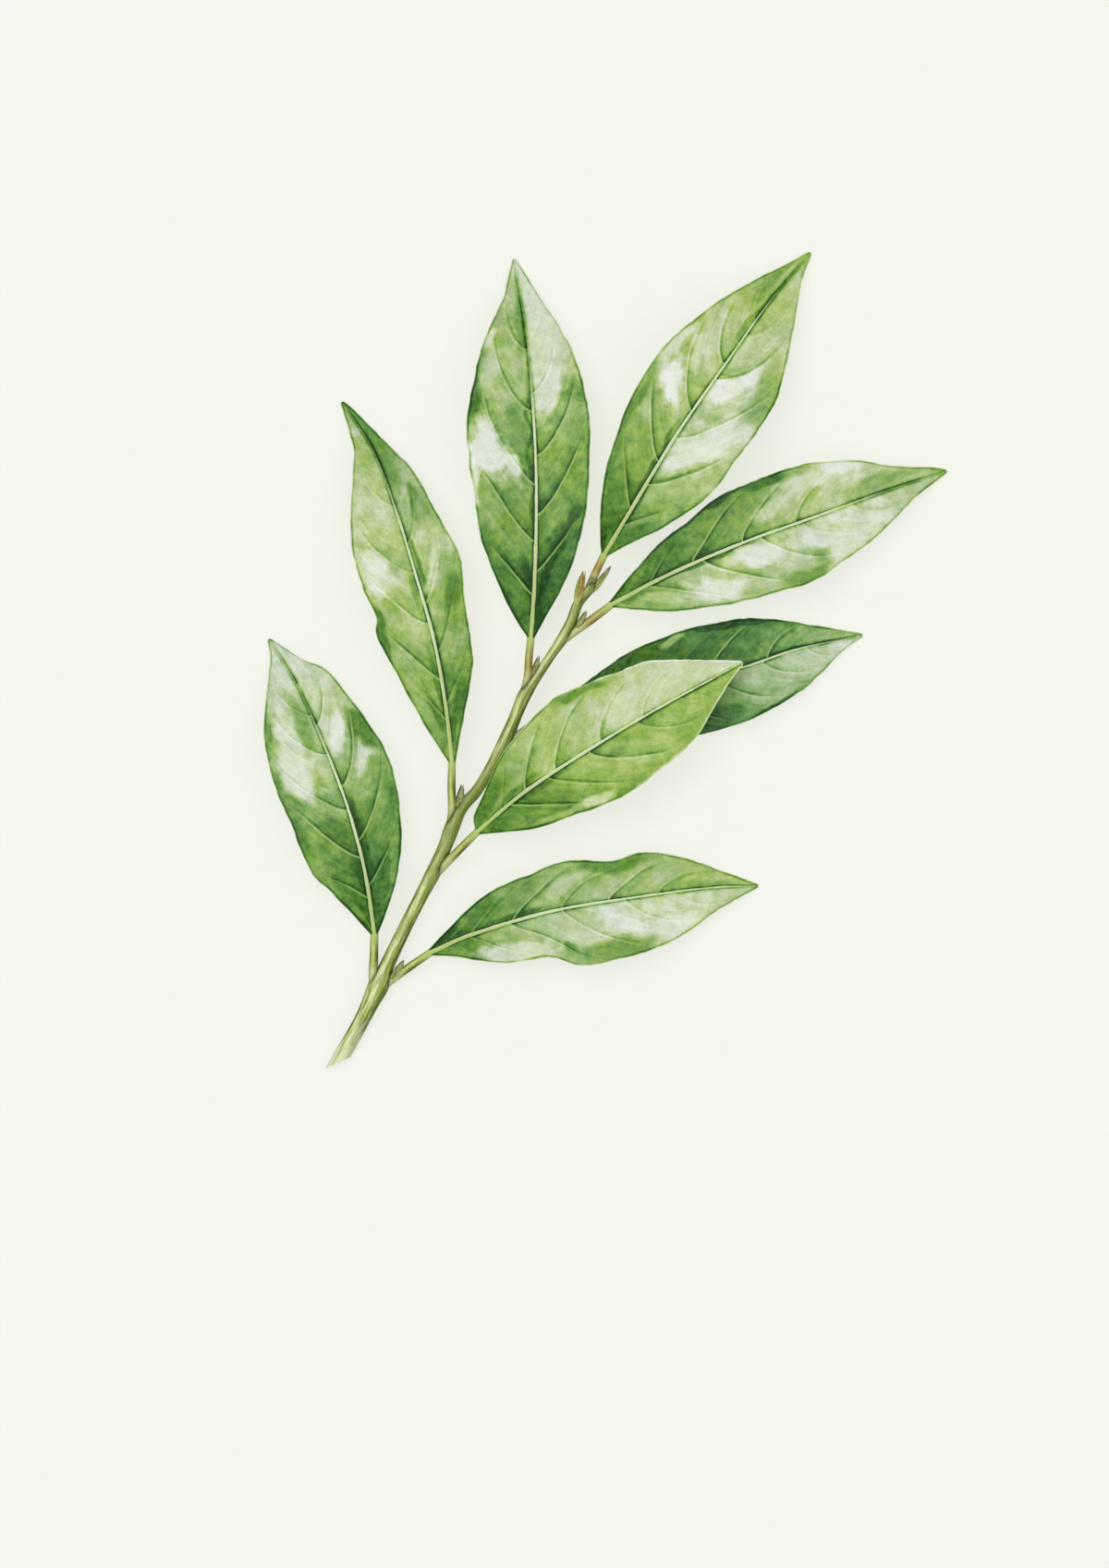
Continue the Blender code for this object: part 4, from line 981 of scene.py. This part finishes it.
def make_stem(materials):
    centres, radii, tangents, left, up = tube_frame(STEM, np.linspace(0.0, 1.0, STEM_ROWS))
    travelled = np.concatenate(([0.0], np.linalg.norm(np.diff(centres, axis=0), axis=1).cumsum()))
    angle = np.linspace(0.0, 2 * np.pi, STEM_SIDES, endpoint=False)
    along, around = np.broadcast_arrays(travelled[:, None], angle[None])
    radius = np.zeros_like(along)
    for leaf in LEAVES.values():
        start, towards = np.array(leaf.petiole[:2], float)[:, :3]
        towards = towards - start
        row = int(np.argmin(np.linalg.norm(centres - (start + 0.45 * towards), axis=1)))
        turned = np.cos(around - math.atan2(towards @ up[row], towards @ left[row]))
        away = along - travelled[row]
        radius += NODE_SWELL * bell(away + 0.8, 3.2) * (0.5 + 0.5 * turned) ** 1.5
        radius += NODE_RING * bell(away, 2.5)
    for seed, (number, length, height) in enumerate(RIDGES, 7):
        radius += height * cloud(around * number / np.pi, along / length, seed)
    pores = np.zeros_like(along)
    dots = np.random.RandomState(5)
    for _ in range(PORES):
        where, turn = dots.uniform(8.0, travelled[-1]), dots.uniform(0, 2 * np.pi)
        gap = np.angle(np.exp(1j * (around - turn))) * radii[:, None]
        pores = np.maximum(pores, np.exp(-((along - where) / 0.45) ** 2 - (gap / 0.16) ** 2))
    from_tip = np.clip((travelled[-1] - along) / 1.6, 0.0, 1.0)
    radius = (radius + radii[:, None] + 0.04 * pores) * np.sqrt(1 - (1 - from_tip) ** 2 * 0.98)
    rings = tube_points(centres, radius, np.cos(around), np.sin(around), left, up)

    # The pruning cut: its face, a short sleeve of bark behind it, and then the first whole ring.
    facing = np.array([math.sin(CUT_SLANT), -math.cos(CUT_SLANT), 0.0])
    cut_point = np.array([*CUT_CENTRE, 0.0])
    kept = int(np.argmax(((rings - cut_point) @ facing).max(axis=1) < 0.0))
    first = rings[kept]
    step = ((cut_point - first) @ facing) / (tangents[kept] @ facing)
    rim = first + step[:, None] * tangents[kept]
    hub = rim.mean(axis=0)
    face = [hub + (rim - hub) * share + lift * facing for share, lift in CUT_RINGS]
    sleeve = [rim + (first - rim) * share for share in SLEEVE_RINGS]
    rings = np.concatenate([face, sleeve, rings[kept:]])
    added = len(face) + len(sleeve)

    def padded(values):
        return np.concatenate([np.repeat(values[kept:kept + 1], added, axis=0), values[kept:]])

    ring = np.ones(rings.shape[:2])
    ring[:len(face)] = np.array(CUT_RINGS)[:, :1]
    feet = [leaf.petiole for leaf in LEAVES.values()]
    feet += [((*bud[0], bud[2]), (*bud[1], 0.1)) for bud in BUDS.values()]
    collar = np.zeros(rings.shape[:2])
    for leaf in LEAVES.values():
        for x, y, z, size in smooth_line(leaf.petiole, np.linspace(0.0, FOOT_SHARE, 6)):
            collar = np.maximum(collar, bell(np.linalg.norm(rings - (x, y, z), axis=-1) / size, 1.0))
    attributes = {
        "ring": ring,
        "from_cut": -((rings - cut_point) @ facing),
        "overhang_shade": padded(np.interp(along / travelled[-1], *np.transpose(STEM_SHADE_STRETCHES))),
        "crease_shade": crease_shade(rings, feet, FOOT_SHARE),
        "collar": collar,
        "lenticel": padded(pores),
        "across": padded(np.cos(around)),
        "upward": padded(np.sin(around)),
        "fast": padded((around + 0.5 * np.pi) % (2 * np.pi) * STROKE_RADIUS),
        "slow": padded(along),
    }
    slots = np.zeros((len(rings) - 1, STEM_SIDES), int)
    slots[:len(face) - 1] = 1
    stand_for(loft("stem_bark_and_cut", rings, attributes, materials, slots), "stem")


def stem_material():
    n = Nodes("green_bark")
    strokes = n.noise(1.0, 4.0, n.brush(0.5, 8.0)) - 0.5
    place = n.value("across") * 0.5 + 0.5 + strokes * 0.9 + (n.noise(6.0, 3.0) - 0.5) * 0.20
    streaks = n.noise(1.0, 5.0, n.brush(0.28, 5.0))
    colour = n.ramp(place, STEM_COLOURS)
    layers = (
        # Painted shade: darker on the stem's underside, away from the light.
        (n.rise(n.value("upward"), 0.1, -0.7), STEM_UNDERSIDE_SHADE),
        (n.rise(streaks, 0.50, 0.68, 0.0, 0.60), STEM_STREAKS),
        (n.rise(streaks, 0.46, 0.32, 0.0, 0.50), STEM_GLINTS),
        (n.rise(n.noise(9.0), 0.52, 0.68, 0.0, 0.30), STEM_PATCHES),
        # Painted shade along the stretches of stem under the leaves that lie over it.
        (n.value("overhang_shade") * n.rise(strokes, -0.16, 0.16, 0.45, 0.85), STEM_OVERHANG_SHADE),
        (n.value("collar") * 0.55, STEM_COLLAR),
        (n.rise(n.value("from_cut") + strokes * 16.0, -0.5, 6.0, 0.92, 0.0), STEM_WORN),
        (n.value("lenticel") * 0.45, STEM_PORES),
        # Painted shade in the creases where stalks and buds meet the stem.
        (n.value("crease_shade") * 0.85, CREASE_SHADE),
    )
    for share, layer in layers:
        colour = n.mix(share, colour, layer)
    return n.finish(colour, 0.6, n.bump(strokes, 0.5, 0.10, n.bump(n.noise(0.6, 4.0), 0.35, 0.05)))


def cut_material():
    n = Nodes("cut_wood")
    ring = n.value("ring") + (n.noise(0.35, 4.0) - 0.5) * 0.12
    return n.finish(n.ramp(ring, CUT_COLOURS), 0.75, n.bump(n.noise(0.3, 3.0), 0.6, 0.06))


# ---------------------------------------------------------------- buds

def make_bud(name, bud, number, material):
    """A pointed core wrapped in overlapping scales."""
    foot, tip, radius, scales, slot = bud
    radius = BUD_SLIMNESS * radius
    foot, tip = np.array(foot), np.array(tip)
    length = float(np.linalg.norm(tip - foot))
    axis = (tip - foot) / length
    side = unit(np.cross([0.0, 0.0, 1.0], axis))
    frame_of_bud = (side[None], np.cross(axis, side)[None])
    t = np.linspace(0.0, 1.0, BUD_ROWS)[:, None]
    angle = np.linspace(0.0, 2 * np.pi, BUD_SIDES, endpoint=False)[None]
    girth = 0.82 * radius * np.sin(np.pi * np.clip(0.12 + 0.88 * t, 0.0, 1.0)) ** 0.75 + 0.02
    centres = foot + t * length * 0.96 * axis
    core = tube_points(centres, girth, np.cos(angle), np.sin(angle), *frame_of_bud)
    parts = [(core, np.full(BUD_SIDES, 0.5), 0.5)]
    across = np.linspace(-1.0, 1.0, SCALE_COLUMNS)
    inward = np.abs(across[None])
    for k in range(scales):
        turn = 0.6 + 2.4 * k + 0.35 * number
        reach = 0.97 - 0.13 * ((scales - 1 - k) % scales)
        theta = turn + (1.15 * (1 - t**2.0) ** 0.6 + 0.02) * across[None]
        hug = radius * (0.90 + 0.05 * k) * np.sin(np.pi * np.clip(0.10 + 0.84 * t, 0.0, 1.0)) ** 0.65
        hug = hug + 0.10 * radius * t**4 + 0.07 * (1 - inward) ** 0.5
        thin = SCALE_THICKNESS * (1 - 0.6 * inward**2) * (1 - 0.7 * t) + 0.01
        centres = foot + t * length * reach * axis
        outer, inner = [tube_points(centres, away, np.cos(theta), np.sin(theta), *frame_of_bud)
                        for away in (hug, hug - thin)]
        ring = np.concatenate([outer, inner[:, ::-1]], axis=1)
        rim = np.abs(np.concatenate([across, across[::-1]]))
        parts.append((ring, rim, float(between(-0.4, 0.4, -math.cos(turn)))))
    made = []
    for index, (rings, rim, tint) in enumerate(parts):
        shape = rings.shape[:2]
        attributes = {"along": np.broadcast_to(t, shape), "rim": np.broadcast_to(rim, shape),
                      "tint": np.full(shape, tint)}
        slots = np.zeros((shape[0] - 1, shape[1]), int)
        made.append(loft(f"{name}_{index}", rings, attributes, [material], slots))
    with bpy.context.temp_override(active_object=made[0], selected_editable_objects=made):
        bpy.ops.object.join()
    piece = made[0]
    piece.name = name + "_scales"
    piece.data.name = piece.name
    stand_for(piece, name)


def bud_material(name, colours):
    n = Nodes(name)
    foot, left, right, tip = colours
    along = n.value("along")
    fine = n.noise(0.45, 3.0) - 0.5
    place = along + fine * 0.5
    colour = n.mix(n.rise(place, 0.14, 0.52), foot, n.mix(n.value("tint"), left, right))
    colour = n.mix(n.rise(place, 0.65, 1.0), colour, tip)
    colour = n.mix(n.rise(fine, 0.02, 0.14, 0.0, 0.35), colour, SCALE_FLECKS)
    dark_rim = n.rise(n.value("rim"), 0.66, 0.96, 0.0, 0.75) * n.rise(along, 0.15, 0.45)
    return n.finish(n.mix(dark_rim, colour, SCALE_RIM), 0.6, n.bump(fine, 0.5, 0.06))


# ---------------------------------------------------------------- floor, light and camera

def make_floor():
    bpy.ops.mesh.primitive_plane_add(size=FLOOR_SIZE, location=(0.0, 0.0, 0.0))
    floor = bpy.context.object
    floor.name = "floor"
    n = Nodes("lit_paper")
    paper = n.mix(n.noise(6.0, 5.0), *PAPER)
    dimmed = n.mix(1.0 - FLOOR_GLOW, BLACK, paper)
    n.link(dimmed, n.shader.inputs["Emission Color"])
    n.shader.inputs["Emission Strength"].default_value = FLOOR_GLOW / (1.0 - FLOOR_GLOW)
    floor.data.materials.append(n.finish(dimmed, 0.9, n.bump(n.noise(0.8, 4.0), 0.12, 0.05)))


def make_lights():
    world = bpy.data.worlds.new("studio")
    bpy.context.scene.world = world
    world.use_nodes = True
    background = world.node_tree.nodes["Background"]
    background.inputs["Color"].default_value = (1.0, 1.0, 1.0, 1.0)
    background.inputs["Strength"].default_value = WORLD_LIGHT
    for name, towards, spread, power in SUNS:
        light = bpy.data.lights.new(name, "SUN")
        light.angle = math.radians(spread)
        light.energy = power
        lamp = bpy.data.objects.new(name, light)
        lamp.rotation_mode = "QUATERNION"
        lamp.rotation_quaternion = Vector(towards).to_track_quat("Z", "Y")
        bpy.context.scene.collection.objects.link(lamp)


def make_camera():
    data = bpy.data.cameras.new("camera")
    data.lens = LENS
    data.sensor_width = SENSOR
    data.clip_start = 0.05
    data.clip_end = 20.0
    camera = bpy.data.objects.new("camera", data)
    distance = VIEW_LONG_SIDE * LENS / SENSOR
    camera.location = [c * MM for c in (*VIEW_CENTRE, VIEW_HEIGHT + distance)]
    bpy.context.scene.collection.objects.link(camera)
    bpy.context.scene.camera = camera
    bpy.context.scene.view_settings.view_transform = "Standard"


def main():
    make_camera()
    make_lights()
    make_floor()
    leaf_materials = [leaf_top_material(), leaf_under_material()]
    for number, (name, leaf) in enumerate(LEAVES.items()):
        make_leaf(name, leaf, number, leaf_materials)
    make_stem([stem_material(), cut_material()])
    scales = {"bud_scale": bud_material("olive_scales", OLIVE_SCALES),
              "bud_brown": bud_material("brown_scales", BROWN_SCALES)}
    for number, (name, bud) in enumerate(BUDS.items()):
        make_bud(name, bud, number, scales[bud[4]])


main()
